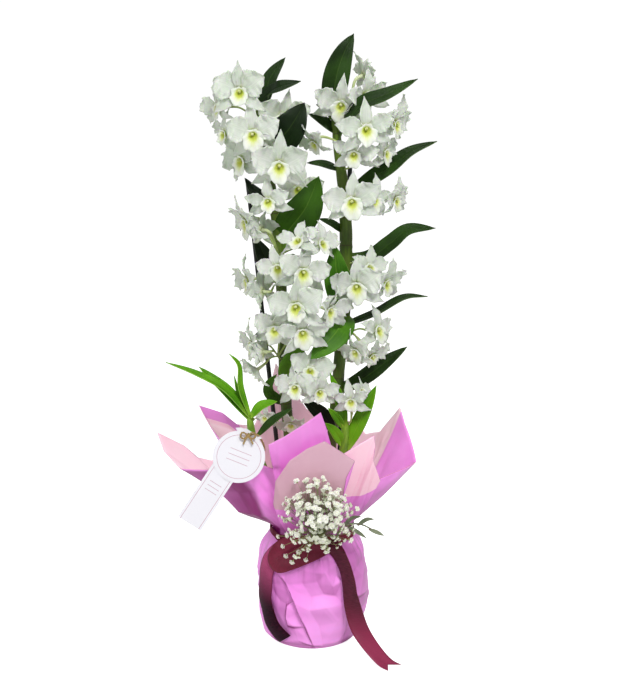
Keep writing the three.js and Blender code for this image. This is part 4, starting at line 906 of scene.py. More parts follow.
# %% Where the sprays are
# Each spray: its cane, the height of its root, and each bloom as the place of its throat, then
# azimuth, elevation and roll in degrees, and the reach of its petals. The shoot's spray has a root of its
# own in place of a cane.
SPRAYS = {
    "left_1": ("left", 590, [
        [-73, -38, 614, -8, 8, 0, 28], [-97, -12, 600, -57, -5, 10, 21]]),
    "left_2": ("left", 563, [
        [-60, -42, 572, -5, -5, 8, 25], [-91, -16, 573, -54, -5, -10, 20], [-31, -3, 589, 14, -5, -6, 25]]),
    "left_3": ("left", 534, [
        [-33, -45, 540, 2, -6, -4, 31], [-74, -12, 545, -47, -8, 12, 24]]),
    "left_4": ("left", 502, [
        [-45, -40, 504, -8, -8, 6, 21], [-15, -2, 514, 16, -4, -8, 23]]),
    "left_5": ("left", 436, [
        [-69, -16, 480, -66, -18, 0, 25], [-53, -24, 472, -128, 4, 10, 20], [-13, -47, 462, -30, 34, 8, 21],
        [10, -40, 459, 47, 16, -12, 21]]),
    "left_6": ("left", 408, [
        [-35, -42, 434, -14, -6, 10, 21], [-9, -48, 430, 12, -8, -6, 25], [-68, -14, 416, -68, -14, 6, 24],
        [-52, -26, 406, -124, -6, -8, 20]]),
    "left_7": ("left", 382, [
        [-16, -54, 394, -6, -4, 5, 31], [18, -40, 388, 50, -12, -8, 23]]),
    "left_8": ("left", 326, [
        [-38, -40, 367, -18, -5, -8, 23], [-10, -46, 365, 12, -12, 8, 25], [-64, -18, 346, -68, -8, 5, 23],
        [-52, -30, 340, -126, -12, -6, 18], [-60, -14, 317, -70, -34, -8, 20]]),
    "left_9": ("left", 284, [
        [-17, -42, 303, -22, 4, 12, 21], [-2, -33, 319, 12, 26, -10, 21], [8, -44, 299, 24, -4, -6, 20]]),
    "left_10": ("left", 246, [
        [-23, -22, 257, -10, -38, 5, 18], [-52, -13, 262, -20, -16, -6, 14]]),
    "right_1": ("right", 580, [
        [32, -7, 603, -12, -18, -8, 24], [56, -8, 612, 36, -14, 10, 23], [55, 14, 634, 118, 26, 0, 20]]),
    "right_2": ("right", 552, [
        [56, -44, 577, 10, 0, 6, 25], [88, -8, 583, 58, -10, -6, 23], [4, -14, 564, -50, -36, 8, 20]]),
    "right_3": ("right", 534, [
        [45, -32, 552, -8, -12, -6, 21], [78, -8, 553, 57, -6, 8, 20]]),
    "right_4": ("right", 514, [
        [43, -38, 503, -5, -5, 4, 27], [66, -22, 504, 38, 0, -8, 21], [90, 0, 503, 57, -10, 6, 21]]),
    "right_5": ("right", 430, [
        [49, -34, 413, -10, -12, 6, 27], [62, -22, 431, 26, 20, -8, 20], [80, -4, 412, 56, -10, 4, 23]]),
    "right_6": ("right", 352, [
        [49, -29, 341, -40, -20, 8, 20], [72, -8, 360, 50, 8, -6, 23], [66, -14, 333, 40, -34, 5, 20]]),
    "shoot": (None, [40, -26, 258], [
        [43, -42, 288, -8, -6, 5, 19], [54, -38, 299, 40, 14, -8, 12]]),
}
FORK_REACH, SHOOT_FORK_REACH = 14, 6  # how far from the stem a spray forks

# %% Build the sprays
flowers = 0
for order, (name, (cane, root, blooms)) in enumerate(SPRAYS.items()):
    rng = np.random.default_rng(100 + order)
    form = Form()
    root = on_line(CANES[cane][0], root) if cane else vec(*root)
    outward = np.mean(np.array(blooms)[:, :3], axis=0) - root
    outward = unit(outward * [1, 1, 0])
    start = [root, root + outward * (FORK_REACH if cane else SHOOT_FORK_REACH) + vec(0, 0, 4)]
    for spec in blooms:
        axes, reach = bloom(form, spec, rng)
        route = stalk(form, axes, reach, start)
        if len(start) > 1:  # the first stalk is the whole spray's, and the others fork from it
            start = [smooth_line(route, 5)[0][1]]
        flowers += 1
    form.make("blooms_" + name, [petal, lip_skin, column_skin, stalk_skin], ["spray_" + name])
print("blooms:", flowers, "in", len(SPRAYS), "sprays")

# %% [markdown]
# ## Film wrap
# Film doesn't drape like cloth: it breaks into flat panels with straight, sharp creases between them. So
# the folds are drawn, not simulated. A tent is a straight ridge with two flat slopes that fades at its ends,
# and a crumple is a net of flat facets. The collar and the flaps have both. The bag has crumples, a few long
# ridges, listed panels on its front, and tight pleats where the ribbon draws it in.


# %% Folds of film
def tents(u, v, rng, count, box, slant, length, width, height, around=None):
    """Heights of many straight ridges over a sheet with coordinates u, v in mm.

    slant is a mean and a spread in degrees, and length, width and height are ranges. around is how far it is
    round a closed sheet.
    """
    total = np.zeros(np.broadcast(u, v).shape)
    for _ in range(count):
        cu, cv = rng.uniform(box[0], box[1]), rng.uniform(box[2], box[3])
        way = math.radians(rng.normal(slant[0], slant[1]))
        du = u - cu
        if around:
            du = (du + around / 2) % around - around / 2
        d = du * math.cos(way) - (v - cv) * math.sin(way)
        s = du * math.sin(way) + (v - cv) * math.cos(way)
        w, n = rng.uniform(*width), rng.uniform(*length)
        lean = rng.uniform(0.35, 1)
        slope = np.where(d > 0, 1 - d / w, 1 + d / (w * lean))
        total += rng.uniform(*height) * np.maximum(0, slope) * np.maximum(0, 1 - (s / n) ** 2)
    return total


def ridge(u, v, start, end, rise, left, right):
    """One long ridge between two places on the sheet, with its own slope on either side."""
    (u0, v0), (u1, v1) = start, end
    long = math.hypot(u1 - u0, v1 - v0)
    a, b = (u1 - u0) / long, (v1 - v0) / long
    s, d = (u - u0) * a + (v - v0) * b, (u - u0) * b - (v - v0) * a
    slope = np.where(d < 0, 1 + d / left, 1 - d / right)
    ends = np.clip(np.minimum(s, long - s) / 14 + 0.6, 0, 1)
    return rise * np.maximum(0, slope) * ends


def crumple(u, v, rng, cell, rise, around=None):
    """Flat facets with crisp edges: heights at the corners of a warped net, and flat planes between."""
    u, v = np.broadcast_arrays(u, v)
    count = round(around / cell[0]) if around else int(u.max() / cell[0]) + 4
    rows = int(v.max() / cell[1]) + 5
    knots = rng.uniform(-rise, rise, (count + 1, rows + 1))
    if around:
        knots[-1] = knots[0]
    split = rng.random((count, rows)) < 0.5
    period = 2 * math.pi / (around or 150)
    y = v / cell[1] + 1 + 0.4 * np.sin(3 * period * u + 1) + 0.25 * np.sin(7 * period * u + 2)
    x = u / ((around or count * cell[0]) / count)
    x = x + 0.4 * np.sin(1.7 * y) + 0.3 * np.sin(2.9 * y + 5 * period * u)
    x, y = x % count, np.clip(y, 0, rows - 0.01)
    i, j = np.minimum(x.astype(int), count - 1), y.astype(int)
    x, y = x - i, y - j
    a, b, c, d = knots[i, j], knots[i + 1, j], knots[i, j + 1], knots[i + 1, j + 1]
    one = np.where(x + y < 1, a + x * (b - a) + y * (c - a), d + (1 - x) * (c - d) + (1 - y) * (b - d))
    two = np.where(x > y, a + x * (b - a) + y * (d - b), a + y * (c - a) + x * (d - c))
    return np.where(split[i, j], one, two)


def facets(u, v, corners):
    """Flat facets between corners given as [u, v, height]."""
    flat = [Vector(c[:2]) for c in corners]
    triangles = delaunay_2d_cdt(flat, [], [], 0, 1e-4)[2]
    u, v = np.broadcast_arrays(u, v)
    total = np.zeros(u.shape)
    for a, b, c in triangles:
        (ax, ay, az), (bx, by, bz), (cx, cy, cz) = corners[a], corners[b], corners[c]
        size = (by - cy) * (ax - cx) + (cx - bx) * (ay - cy)
        p = ((by - cy) * (u - cx) + (cx - bx) * (v - cy)) / size
        q = ((cy - ay) * (u - cx) + (ax - cx) * (v - cy)) / size
        inside = (p >= -1e-6) & (q >= -1e-6) & (p + q <= 1 + 1e-6)
        total = np.where(inside, p * az + q * bz + (1 - p - q) * cz, total)
    return total


def blurred(values, reach, closed=False):
    """The mean over a square of neighbours."""
    wide = 2 * reach + 1
    flat = values.reshape(*values.shape[:2], -1)
    flat = np.pad(flat, ((reach, reach), (0, 0), (0, 0)), mode="edge")
    flat = np.pad(flat, ((0, 0), (reach, reach), (0, 0)), mode="wrap" if closed else "edge")
    for axis in (0, 1):
        total = np.cumsum(np.insert(flat, 0, 0, axis=axis), axis=axis)
        first = np.arange(total.shape[axis] - wide)
        flat = (np.take(total, first + wide, axis=axis) - np.take(total, first, axis=axis)) / wide
    return flat.reshape(values.shape)


# Painted light and shade for the film: a panel turned towards the way below is painted lighter, one turned
# away is painted darker, and a fold lying low gets painted shade.
PAINTED_LIGHT_WAY = unit(vec(0.4, -0.7, 0.6))  # a panel that turns this way is lightest
PLAIN = 0.12  # the mark of film that is neither turned nor low
HOLLOW_DEPTH = 3.0  # mm: a hollow of this depth is as deep in colour as any


def painted_shade_marks(grid, heights, closed=False, gain=1.3, plain=PLAIN):
    """Painted light and shade: 0 where a panel turns to the front and up, 1 where it turns away or lies low.
    """
    normal = normals_of(grid, closed)
    tilt = (normal - unit(blurred(normal, 16, closed))) @ PAINTED_LIGHT_WAY
    low = np.clip((blurred(heights, 3, closed) - heights) / HOLLOW_DEPTH, 0, 1)
    mark = np.clip(plain - gain * tilt + 0.5 * gain * low, 0, 1)
    return np.stack([mark, np.zeros_like(mark)], -1)


def between(x, low, high, ease):
    """1 from low to high, easing to 0 outside."""
    return np.clip((np.minimum(x - low, high - x) + ease) / ease, 0, 1)


def zigzag(x):
    """A wave of straight slopes, from -1 to 1."""
    return 2 * np.abs(2 * (x / (2 * math.pi) % 1) - 1) - 1


def spread(values, steps):
    """Straight lines between neighbours, so that each given point stays a sharp corner."""
    values = np.array(values, float)
    t = np.linspace(0, len(values) - 1, (len(values) - 1) * steps + 1)
    return np.stack([np.interp(t, np.arange(len(values)), values[:, k]) for k in range(values.shape[1])], -1)


def on_ring(angle, radius, height):
    """Places round the upright axis. 270 degrees is the front."""
    a = np.radians(angle)
    angle, radius, height = np.broadcast_arrays(a, radius, height)
    return np.stack([radius * np.cos(angle), radius * np.sin(angle), height], -1)


FILM = 0.6  # mm: how thick a sheet of film is

# %% [markdown]
# ### The bag round the pot
# A flat foot, a belly, and a waist that the ribbon draws in. The radius at each height is the imported bag's,
# and the folds are pressed into it as far as the pot allows. Two zones of the front get painted shade: the
# film left of the main crease, and the film right of the hanging tail.

# %% Build the bag
BAG = [(0, 52), (6, 57.5), (24, 62.5), (52, 65), (84, 64), (102, 60.5), (112, 56), (118, 52), (122, 48),
       (125, 42), (142, 41)]
BAG_TOP = 142
# The heights of the drawn-in neck, and the radius of each layer there.
NECK = {"low": 120, "high": 134, "collar": 43, "front_flap": 44.7, "right_fold": 46.2, "front_fold": 47.7,
        "band": 49.5}


def bag_radius(height):
    """Smooth between the listed rings."""
    fine = np.linspace(0, BAG_TOP, BAG_TOP + 1)
    raw = np.interp(fine, [z for z, _ in BAG], [r for _, r in BAG])
    soft = np.convolve(np.pad(raw, 3, mode="edge"), np.ones(7) / 7, mode="valid")
    return np.interp(height, fine, np.minimum(soft, raw + 1))


# Corners of the flat panels on the front, as [mm round the bag, height, how far it stands out].
FRONT_PANELS = [
    # under the left tail and beside it
    [238, 2, 0], [238, 40, -1], [238, 75, -1.4], [238, 108, 0], [252, 90, 1.6], [253, 58, -4.4],
    [250, 36, -3], [256, 14, -1], [246, 104, 1.4],
    # the pocket: its raised edge, and the dark strip left of it
    [265, 71, -2.4], [264.4, 54, 0.2], [262.6, 40, 1.2], [264.6, 31, 1.4], [271, 31, 0.6], [262.2, 55, -4.6],
    [260.2, 39, -4], [262.6, 28, -3], [272, 28, -2.4],
    # the main crease: a sheet that lies over the one on its left
    [258, 88, 2.0], [264, 82, 2.2], [268.6, 73, 3.2], [273.6, 62, 3.4], [278.8, 47, 3.2], [286, 31, 2.8],
    [294, 6, 1.8], [262.2, 81, -1.6], [266.8, 72, -4.6], [271.6, 61.4, -5], [276.8, 46.4, -4.6],
    [284, 30, -3.2], [292, 5, -1.4], [276, 12, 0.6],
    # the main panel: valley, level ridge and the lower facets
    [276, 95, 2.4], [283, 100, 2.2], [282, 84, -1.0], [292, 68, -2.4], [306, 70, -3.4], [319, 67, -2.0],
    [290, 54, 2.2], [307, 57, 3.4], [327, 56, 2.8], [300, 34, 0.4], [320, 37, 3.2], [322, 3, 1.0],
    [306, 4, 0.4], [298, 86, -1.6], [296, 97, 2.6], [290, 108, 1.0],
    # the slanting crease and the panel right of it
    [303, 109, 1.6], [307, 96, 3.0], [315, 80, 1.6], [312, 99, 1.4], [320, 90, -1.2], [326, 66, 1.0],
    # the edge beside the right tail
    [322, 104, 0.4], [326, 84, 1.4], [328.6, 62, 2.6], [330.6, 46, 3.0], [331.6, 22, 2.4], [324.4, 104, -2.6],
    [328.4, 84, -4.6], [331, 62, -4.8], [333, 46, -4.4], [334, 22, -3.4], [334, 3, -1],
    # right of the tail
    [341, 108, 1.4], [341, 79, -4.2], [354, 57, 1.0], [390, 38, 2.2], [349, 92, 0.6], [360, 108, 1.6],
    [358, 78, 3.2], [374, 56, 3.4], [352, 52, -3.4], [362, 35, -4.4], [346, 15, -1.4], [374, 20, -1.6],
    [384, 88, -2.4], [372, 100, 0.4], [392, 8, 0], [376, 74, 1.8], [380, 64, -1.6],
    [404, 2, 0], [404, 40, 0.6], [404, 75, -0.6], [404, 108, 0]]
# Long ridges on the sides and the back, as start, end, rise, and the width of each slope.
SIDE_FOLDS = [
    [[60, 10], [92, 100], 4.2, 8, 22], [[130, 96], [158, 12], 4.2, 20, 8], [[20, 20], [34, 98], -4.0, 9, 6],
    [[190, 10], [206, 96], -4.4, 8, 14], [[104, 60], [150, 52], 3.6, 14, 8],
    [[168, 76], [228, 60], 3.4, 16, 8]]
POT_RADIUS = ((0, 43), (84, 55.5), (94, 57.5), (103, 57.5), (112, 50), (120, 40), (142, 38))
UNROLLED = 62  # mm: the radius at which the bag's side is laid flat
PANELS_FROM, PANELS_TO = 238, 402  # mm round the bag
UNDER_TAIL = (216, 254)  # mm round the bag, where the film stays low under the left tail
FRONT_FROM, FRONT_TO = 222, 372  # degrees, where the columns are closer
BAG_COLS, BAG_ROWS = 360, 104
CREASE_TOP, CREASE_SLANT = (258, 88), 0.44  # where the main crease starts, and how it runs to the right

rng = np.random.default_rng(3)
share = np.linspace(0, 1, BAG_COLS, endpoint=False)
angle = np.interp(share, [0, 0.38, 1], [FRONT_TO - 360, FRONT_FROM, FRONT_TO])[None, :]
height = np.linspace(0.3, BAG_TOP, BAG_ROWS)[:, None]
turn = np.radians(angle)
around = 2 * math.pi * UNROLLED
u = turn * UNROLLED
front = np.clip(np.minimum(u - PANELS_FROM, PANELS_TO - u) / 8, 0, 1)
folds = crumple(u, height, rng, (34, 40), 4.6, around) - 1.2
folds += crumple(u, height, rng, (15, 19), 1.4, around)
for start, end, rise, left, right in SIDE_FOLDS:
    folds += ridge(u, height, start, end, rise, left, right)
folds = folds * (1 - front) + front * (facets(u, height, FRONT_PANELS)
                                       + crumple(u, height, rng, (11, 13), 0.35, around))
gather = np.interp(height, [0, 70, 98, 110, 119, BAG_TOP], [0.0, 0.0, 1.0, 2.4, 0.7, 0.5])
pleats = zigzag(27 * turn + 2.2 * np.sin(3 * turn + 1)) + 0.6 * zigzag(44 * turn + 1.7 * np.sin(5 * turn))
fade = np.interp(height, [0, 8, 100, 114, BAG_TOP], [0.25, 1, 0.9, 0.3, 0.0])
base = bag_radius(height) - 0.2
inner_limit = np.interp(height, *zip(*POT_RADIUS)) + 1.0 - base
relief = np.clip(folds * fade, np.minimum(inner_limit, 0), 3.4)
relief = np.where((u > UNDER_TAIL[0]) & (u < UNDER_TAIL[1]), np.minimum(relief, 1.6), relief)
radius = base + relief + gather * (pleats - 0.5) * 0.6 * (1 - 0.6 * front)
side = on_ring(angle, radius, height)
foot = on_ring(angle, side[0, :, :2].max() * np.array([[0.02], [0.35], [0.7], [0.93]]), 0.3)
# Painted shade on two zones of the front, left of the main crease and right of the hanging tail; the marks
# add painted light and shade by how each panel turns.
left_of_crease = between(u, 236, CREASE_TOP[0] + CREASE_SLANT * (CREASE_TOP[1] - height), 2)
right_of_tail = between(u, 334, 400, 3)
shade = PLAIN + 0.22 * left_of_crease + 0.3 * right_of_tail
marks = painted_shade_marks(side, relief, closed=True, plain=shade)
marks = np.concatenate([marks[:len(foot)] * 0 + PLAIN, marks])
form = Form()
form.sheet(np.concatenate([foot, side]), FILM, 0, 1, closed=True, marks=(marks, marks))
bag = form.make("film_bag", [film_outside, film_inside], ["wrap_bag"])
print("bag: %.0f mm wide" % (2 * radius.max()))

# %% [markdown]
# ### The flared collar
# Above the ribbon the film opens into a collar with long points. The rim's corners are joined by straight
# lines, so every point stays crisp and a crease runs from it down to the neck. The film is calmer on the
# right wing and the left points, and has painted shade near the neck and under the points.

# %% Build the collar
# The rim's corners as [degrees, reach, height].
COLLAR_RIM = [
    [0, 106, 250], [8, 102, 266], [14, 94, 250], [22, 86, 232], [40, 84, 222], [58, 92, 232],
    [76, 84, 226], [95, 80, 246], [112, 76, 282], [124, 77, 307], [132, 79, 267], [142, 88, 232],
    [152, 101, 236], [159, 113, 252], [166, 136, 263], [171, 122, 246], [175, 104, 226], [179, 102, 211],
    [182, 115, 208], [185, 130, 214], [187.5, 146, 231], [190, 174, 249], [193, 168, 230], [197.6, 152, 212],
    [204.8, 119, 212], [215.6, 96, 213], [227, 79, 220], [237, 70, 216], [252, 53, 186], [270, 51, 178],
    [289, 53, 180], [308, 62, 188], [326, 86, 200], [344, 121, 216], [360, 106, 250]]
RIM_STEPS, COLLAR_ROWS, NECK_ROWS = 9, 46, 4
COLLAR_UNROLLED, COLLAR_RISE = 90, 130  # mm: the radius and the height at which its folds are laid out
COLLAR_BELLY = (0.42, 0.34)
COLLAR_BOWL = {"from": 186, "to": 228, "ease": 12, "radius": [0, 0.39, 0.62, 1],
               "height": [0, 0.26, 0.64, 1]}
# Zones of the collar in degrees, and over how many degrees each fades. Four of them only say where painted
# shade goes.
ZONES = {"right_wing": (296, 352, 8), "left_points": (148, 206, 6), "shade_under_left": (184, 212, 5),
         "shade_under_right": (312, 352, 8), "left_point": (176, 206, 5), "turned_corner": (150, 167, 2)}


def beyond(angle, middle, half, ease):
    """0 within half of the middle, easing to 1 outside. All are in degrees."""
    return np.clip((np.abs(angle - middle) - half) / ease, 0, 1)


def no_flap(angle):
    """1 round the sides and the back, where no loose flap stands between collar and ribbon."""
    return beyond(angle, 280, 58, 14)


def collar_grid(rng):
    """The collar's points, and the marks of its two sides."""
    rim = spread(COLLAR_RIM, RIM_STEPS)[:-1]
    angle, far, top = rim[:, 0][None], rim[:, 1][None], rim[:, 2][None]
    zone = {name: between(angle, *where) for name, where in ZONES.items()}
    t = np.linspace(0, 1, COLLAR_ROWS)[:, None]
    snug = 2 * no_flap(angle)
    start_r, start_z = NECK["collar"] + snug + 0.3, NECK["high"]
    part_r = 2 * t * (1 - t) * COLLAR_BELLY[0] + t**2
    part_z = 2 * t * (1 - t) * COLLAR_BELLY[1] + t**2
    bowl = np.minimum(angle - COLLAR_BOWL["from"], COLLAR_BOWL["to"] - angle)
    bulge = np.clip(bowl / COLLAR_BOWL["ease"], 0, 1)
    part_r = part_r + bulge * (along(COLLAR_BOWL["radius"], COLLAR_ROWS)[:, None] - part_r)
    part_z = part_z + bulge * (along(COLLAR_BOWL["height"], COLLAR_ROWS)[:, None] - part_z)
    radius, height = start_r + (far - start_r) * part_r, start_z + (top - start_z) * part_z
    neck_height = np.linspace(NECK["low"], NECK["high"], NECK_ROWS + 1)[:, None]
    neck = on_ring(angle, NECK["collar"] + snug, neck_height)
    grid = np.concatenate([neck[:-1], on_ring(angle, radius, height)])
    u = np.radians(angle) * COLLAR_UNROLLED
    rise = np.concatenate([np.zeros((NECK_ROWS, 1)), t])
    v = rise * COLLAR_RISE
    around = 2 * math.pi * COLLAR_UNROLLED
    folds = tents(u, v, rng, 44, (0, around, 10, 110), (0, 16), (30, 90), (5, 14), (0.8, 3.2), around)
    folds -= tents(u, v, rng, 40, (0, around, 10, 110), (0, 20), (30, 80), (4, 12), (0.8, 3.2), around)
    folds += crumple(u, v, rng, (30, 38), 2.2, around)
    folds += np.sin(rise * math.pi) * 1.6 * zigzag(np.radians(angle) * 31 + 2 * np.sin(np.radians(angle) * 4))
    calm = np.maximum(zone["right_wing"] * 0.7, zone["left_points"] * 0.5)
    folds = folds * np.minimum(1, rise * 4) * 0.8 * (1 - calm)
    made = grid + normals_of(grid, closed=True) * folds[..., None]
    # Painted shade near the neck, under the left points, low on the right wing, at the left point and at the
    # turned corner, and painted light and shade by how each panel turns.
    neck_shade = np.clip(1 - rise / 0.6, 0, 1) * 0.4
    shade_under_left = zone["shade_under_left"] * between(rise, 0, 0.97, 0.03) * 0.9
    shade_under_right = zone["shade_under_right"] * between(rise, 0, 0.7, 0.2) * 0.36
    outer = painted_shade_marks(made, folds, True, gain=0.6, plain=0.14 + neck_shade + shade_under_left + shade_under_right)
    left_point = zone["left_point"] * 0.25
    turned = zone["turned_corner"] * (rise > 0.88) * 0.36
    pale = (0.02 + neck_shade + left_point + turned)[:, ::-1]
    inner = painted_shade_marks(made[:, ::-1], -folds[:, ::-1], True, gain=0.4, plain=pale)[:, ::-1]
    return made, (outer, inner)


# The right wing is doubled and one corner is turned over, so their inner side shows the print.
rim_angle = spread(COLLAR_RIM, RIM_STEPS)[:-1, 0][None]
rise = np.concatenate([np.zeros(NECK_ROWS), np.linspace(0, 1, COLLAR_ROWS)])[:-1, None]
doubled = (rim_angle > 316) | (rim_angle < 6)
turned_edge = (rim_angle > 150) & (rim_angle < 167) & (rise > 0.9)
inner = np.where(doubled | turned_edge, 0, 1)
form = Form()
grid, marks = collar_grid(np.random.default_rng(8))
form.sheet(grid, FILM, 0, inner, closed=True, marks=marks)
collar = form.make("film_collar", [film_outside, film_inside], ["wrap_collar"])

# %% [markdown]
# ### The loose flaps
# Three more corners of film stand before the collar. The first shows its printed side, and the others are
# folded so that the pale side shows.

# %% Build the flaps
# Each flap: where its foot lies in degrees, its belly along Y (minus is forward), its rim, and 1 if the pale
# side shows.
FLAPS = {
    "front_flap": ((228, 306), -6, [[-46, -75, 249], [-29, -76, 258], [-10, -78, 271], [10, -78, 285],
                                    [16, -75, 267], [21, -71, 246], [29, -60, 212]], 0),
    "right_fold": ((285, 333), -9, [[27, -80, 222], [30, -81, 238], [49, -77, 249], [67, -72, 258],
                                    [68, -74, 246], [66, -76, 231], [70, -76, 220], [74, -74, 208]], 1),
    "front_fold": ((236, 300), -12, [[-41, -74, 181], [-38, -82, 211], [-23, -87, 235], [-4, -89, 249],
                                     [14, -89, 257], [30, -88, 246], [46, -86, 234], [37, -86, 216]], 1),
}
# The height where a flap's pale side begins, and how much higher that is at its last corner.
PALE_FROM = {"right_fold": (186, 12), "front_fold": (176, 0)}
FLAP_WIDTH, FLAP_RISE = 90, 110  # mm: the size at which a flap's folds are laid out


def flap_grid(name, foot, belly, rim, pale, rng, steps=12, rows=46):
    """The flap's points, its marks, and the row where its pale side begins."""
    edge = spread(rim, steps)
    angle = np.linspace(foot[0], foot[1], len(edge))[None]
    low = on_ring(angle, NECK[name], np.linspace(NECK["low"], NECK["high"], NECK_ROWS + 1)[:, None])
    t = np.linspace(0, 1, rows)[:, None]
    turned = round(0.55 * rows)
    if pale:
        level, lift = PALE_FROM[name]
        pale_height = level + lift * np.linspace(0, 1, len(edge)) ** 6
        part = (pale_height - NECK["high"]) / (edge[:, 2] - NECK["high"])
        row = np.arange(rows)[:, None]
        below = np.clip(row / turned, 0, 1)
        above = np.clip((row - turned) / (rows - 1 - turned), 0, 1)
        t = below * part + above * (1 - part)
    t = (t + 0 * angle)[..., None]
    rise = low[-1][None] * (1 - t) + edge[None] * t
    rise[..., 1] += belly * np.sin(math.pi * t[..., 0])
    grid = np.concatenate([low[:-1], rise])
    v = np.concatenate([np.zeros((NECK_ROWS, len(edge))), t[..., 0] * FLAP_RISE])
    u = np.linspace(0, FLAP_WIDTH, len(edge))[None]
    folds = tents(u, v, rng, 5, (0, FLAP_WIDTH, 10, 80), (0, 14), (30, 80), (8, 18), (0.6, 2.2))
    folds -= tents(u, v, rng, 5, (0, FLAP_WIDTH, 10, 80), (0, 18), (30, 70), (6, 14), (0.6, 2.2))
    folds += crumple(u, v, rng, (26, 34), 1.2)
    folds *= 0.35 if pale else 1
    folds += np.clip(1 - v / 60, 0, 1) * (0.2 if pale else 1.2) * zigzag(u / FLAP_WIDTH * 2 * math.pi * 6)
    folds = folds * np.minimum(1, v / 28)
    # Painted shade near the neck, and painted light and shade by how each panel turns.
    neck_shade = np.clip(1 - v / 44, 0, 1) * 0.4
    made = grid + normals_of(grid) * folds[..., None]
    marks = painted_shade_marks(made, folds, gain=0.3 if pale else 0.6, plain=0.24 + neck_shade)
    return made, (marks, marks), turned + NECK_ROWS


for order, (name, (foot, belly, rim, pale)) in enumerate(FLAPS.items()):
    form = Form()
    grid, marks, turned = flap_grid(name, foot, belly, rim, pale, np.random.default_rng(20 + order))
    near = (np.arange(len(grid) - 1)[:, None] >= turned) * pale
    form.sheet(grid, FILM, near, 1 - pale, marks=marks)
    finishes = [film_outside, film_inside_darker if name == "front_fold" else film_inside]
    form.make("film_" + name, finishes, ["wrap_" + name])

# %% [markdown]
# ## Ribbon
# The band goes round the neck, flat in front and bunched up at the sides and the back. The loop and the left
# tail lie on the bag, and the right tail hangs down to the table and ends in a notch.

# %% Build the band
RIBBON, RIBBON_WIDTH = 0.6, 19  # mm: how thick and how wide the ribbon is
turn = np.linspace(0, 2 * math.pi, 160, endpoint=False)[None, :]
across = np.linspace(0, 1, 19)[:, None]
bunched = beyond(np.degrees(turn), 275, 30, 20)
low, high = 120 + 3 * bunched, 133 - 1.5 * bunched
ripple = 0.35 * zigzag(19 * turn + 2 * np.sin(2 * turn)) * np.sin(math.pi * across)
ripple = ripple + (0.35 + 0.75 * bunched) * (1 + zigzag(6 * math.pi * across))
height = low + (high - low) * across + 0.8 * np.sin(3 * turn + 1) * (across - 0.5)
grid = on_ring(np.degrees(turn), NECK["band"] - 3 * no_flap(np.degrees(turn)) + ripple, height)
form = Form()
form.sheet(grid, RIBBON, closed=True)
band = form.make("ribbon_band_satin", [satin], ["ribbon_band"])

# %% Ribbon that lies on the bag
# Each route is [degrees, height], and each lift how far the ribbon stands off, spread along the route.
LEFT_TAIL = [[251, 123], [238, 118], [224, 108], [218, 92], [217, 72], [218, 50], [226, 27], [239, 11]]
LEFT_TAIL_LIFT = [0, 2.4, 2.6, 2.6, 2.6, 2.6, 2.6, 2.6]
LOOP = [[268, 128], [252, 125], [238, 121], [230, 112], [235, 104], [246, 109], [258, 115], [273, 121],
        [288, 125]]
LOOP_LIFT = [0.1, 4, 6, 7.5, 7.5, 7.5, 7, 5, 2.5]


def ribbon_on_bag(route, lift, rows=60, cols=9, width=RIBBON_WIDTH):
    """A strip along a route over the bag and the band. It is slightly crowned and never below the floor."""
    on_band = NECK["band"] + 1.1
    places = np.linspace(0, 1, len(lift))
    line, ahead = smooth_line([[a, z, 0] for a, z in route], rows)
    grid = []
    for k in range(rows):
        reach = max(float(bag_radius(line[k, 1])), on_band)
        heading = unit(np.array([math.radians(ahead[k, 0]) * reach, ahead[k, 1]]))
        step = np.linspace(-1, 1, cols) * width / 2
        height = np.maximum(line[k, 1] + heading[0] * step, RIBBON)
        angle = line[k, 0] - np.degrees(heading[1] * step / reach)
        stand = np.maximum(bag_radius(height), on_band) + np.interp(k / (rows - 1), places, lift)
        grid.append(on_ring(angle, stand + 0.5 * np.cos(step / width * 3) + 0.4 * math.sin(k * 0.4), height))
    return np.array(grid)


form = Form()
form.sheet(ribbon_on_bag(LEFT_TAIL, LEFT_TAIL_LIFT, width=24), RIBBON)
left_tail = form.make("ribbon_left_tail_satin", [satin_left], ["ribbon_left_tail"])
form = Form()
form.sheet(ribbon_on_bag(LOOP, LOOP_LIFT), RIBBON)
loop = form.make("ribbon_loop_satin", [satin], ["ribbon_loop"])

# %% The hanging tail with its notch
RIGHT_TAIL = {
    "route": [[17.2, -47.6, 128], [30, -58, 116], [39, -67, 97], [43, -70, 74], [47, -71, 54], [54, -75, 34],
              [70, -82, 12], [82, -90, 2.4], [91, -97, 1]],
    "across": [[0.95, 0.31, 0.1], [0.75, -0.5, 0.3], [0.75, -0.66, 0.05], [0.75, -0.66, 0.05],
               [0.95, -0.3, 0.1], [1, 0.1, 0.15], [0.85, 0.52, 0.1], [0.78, 0.62, 0.02], [0.75, 0.65, 0]],
    "width": 20, "notch": 9}
TAIL_ROWS = 70
line, ahead = smooth_line(RIGHT_TAIL["route"], TAIL_ROWS)
sides = unit(np.stack([along([a[k] for a in RIGHT_TAIL["across"]], TAIL_ROWS) for k in range(3)], -1))
step = np.linspace(-1, 1, 9)
grid = line[:, None] + sides[:, None] * step[None, :, None] * RIGHT_TAIL["width"] / 2
cut = (1 - np.abs(step)) * RIGHT_TAIL["notch"]
run = np.linspace(0, 1, TAIL_ROWS)[:, None]
grid -= ahead[:, None] * (np.clip((run - 0.8) / 0.2, 0, 1) * cut)[..., None]
grid[..., 2] = np.maximum(grid[..., 2], 0.5)
form = Form()
form.sheet(grid, RIBBON)
right_tail = form.make("ribbon_right_tail_satin", [satin_right], ["ribbon_right_tail"])
print("ribbons: band, loop and two tails")

# %% [markdown]
# ## Baby's breath and the grey-green sprig
# A cloud of tiny double florets on thread-thin stems. They sit in small clumps through a ball that is flat
# at the back, where the film stands, and a few stragglers hang down to the left.

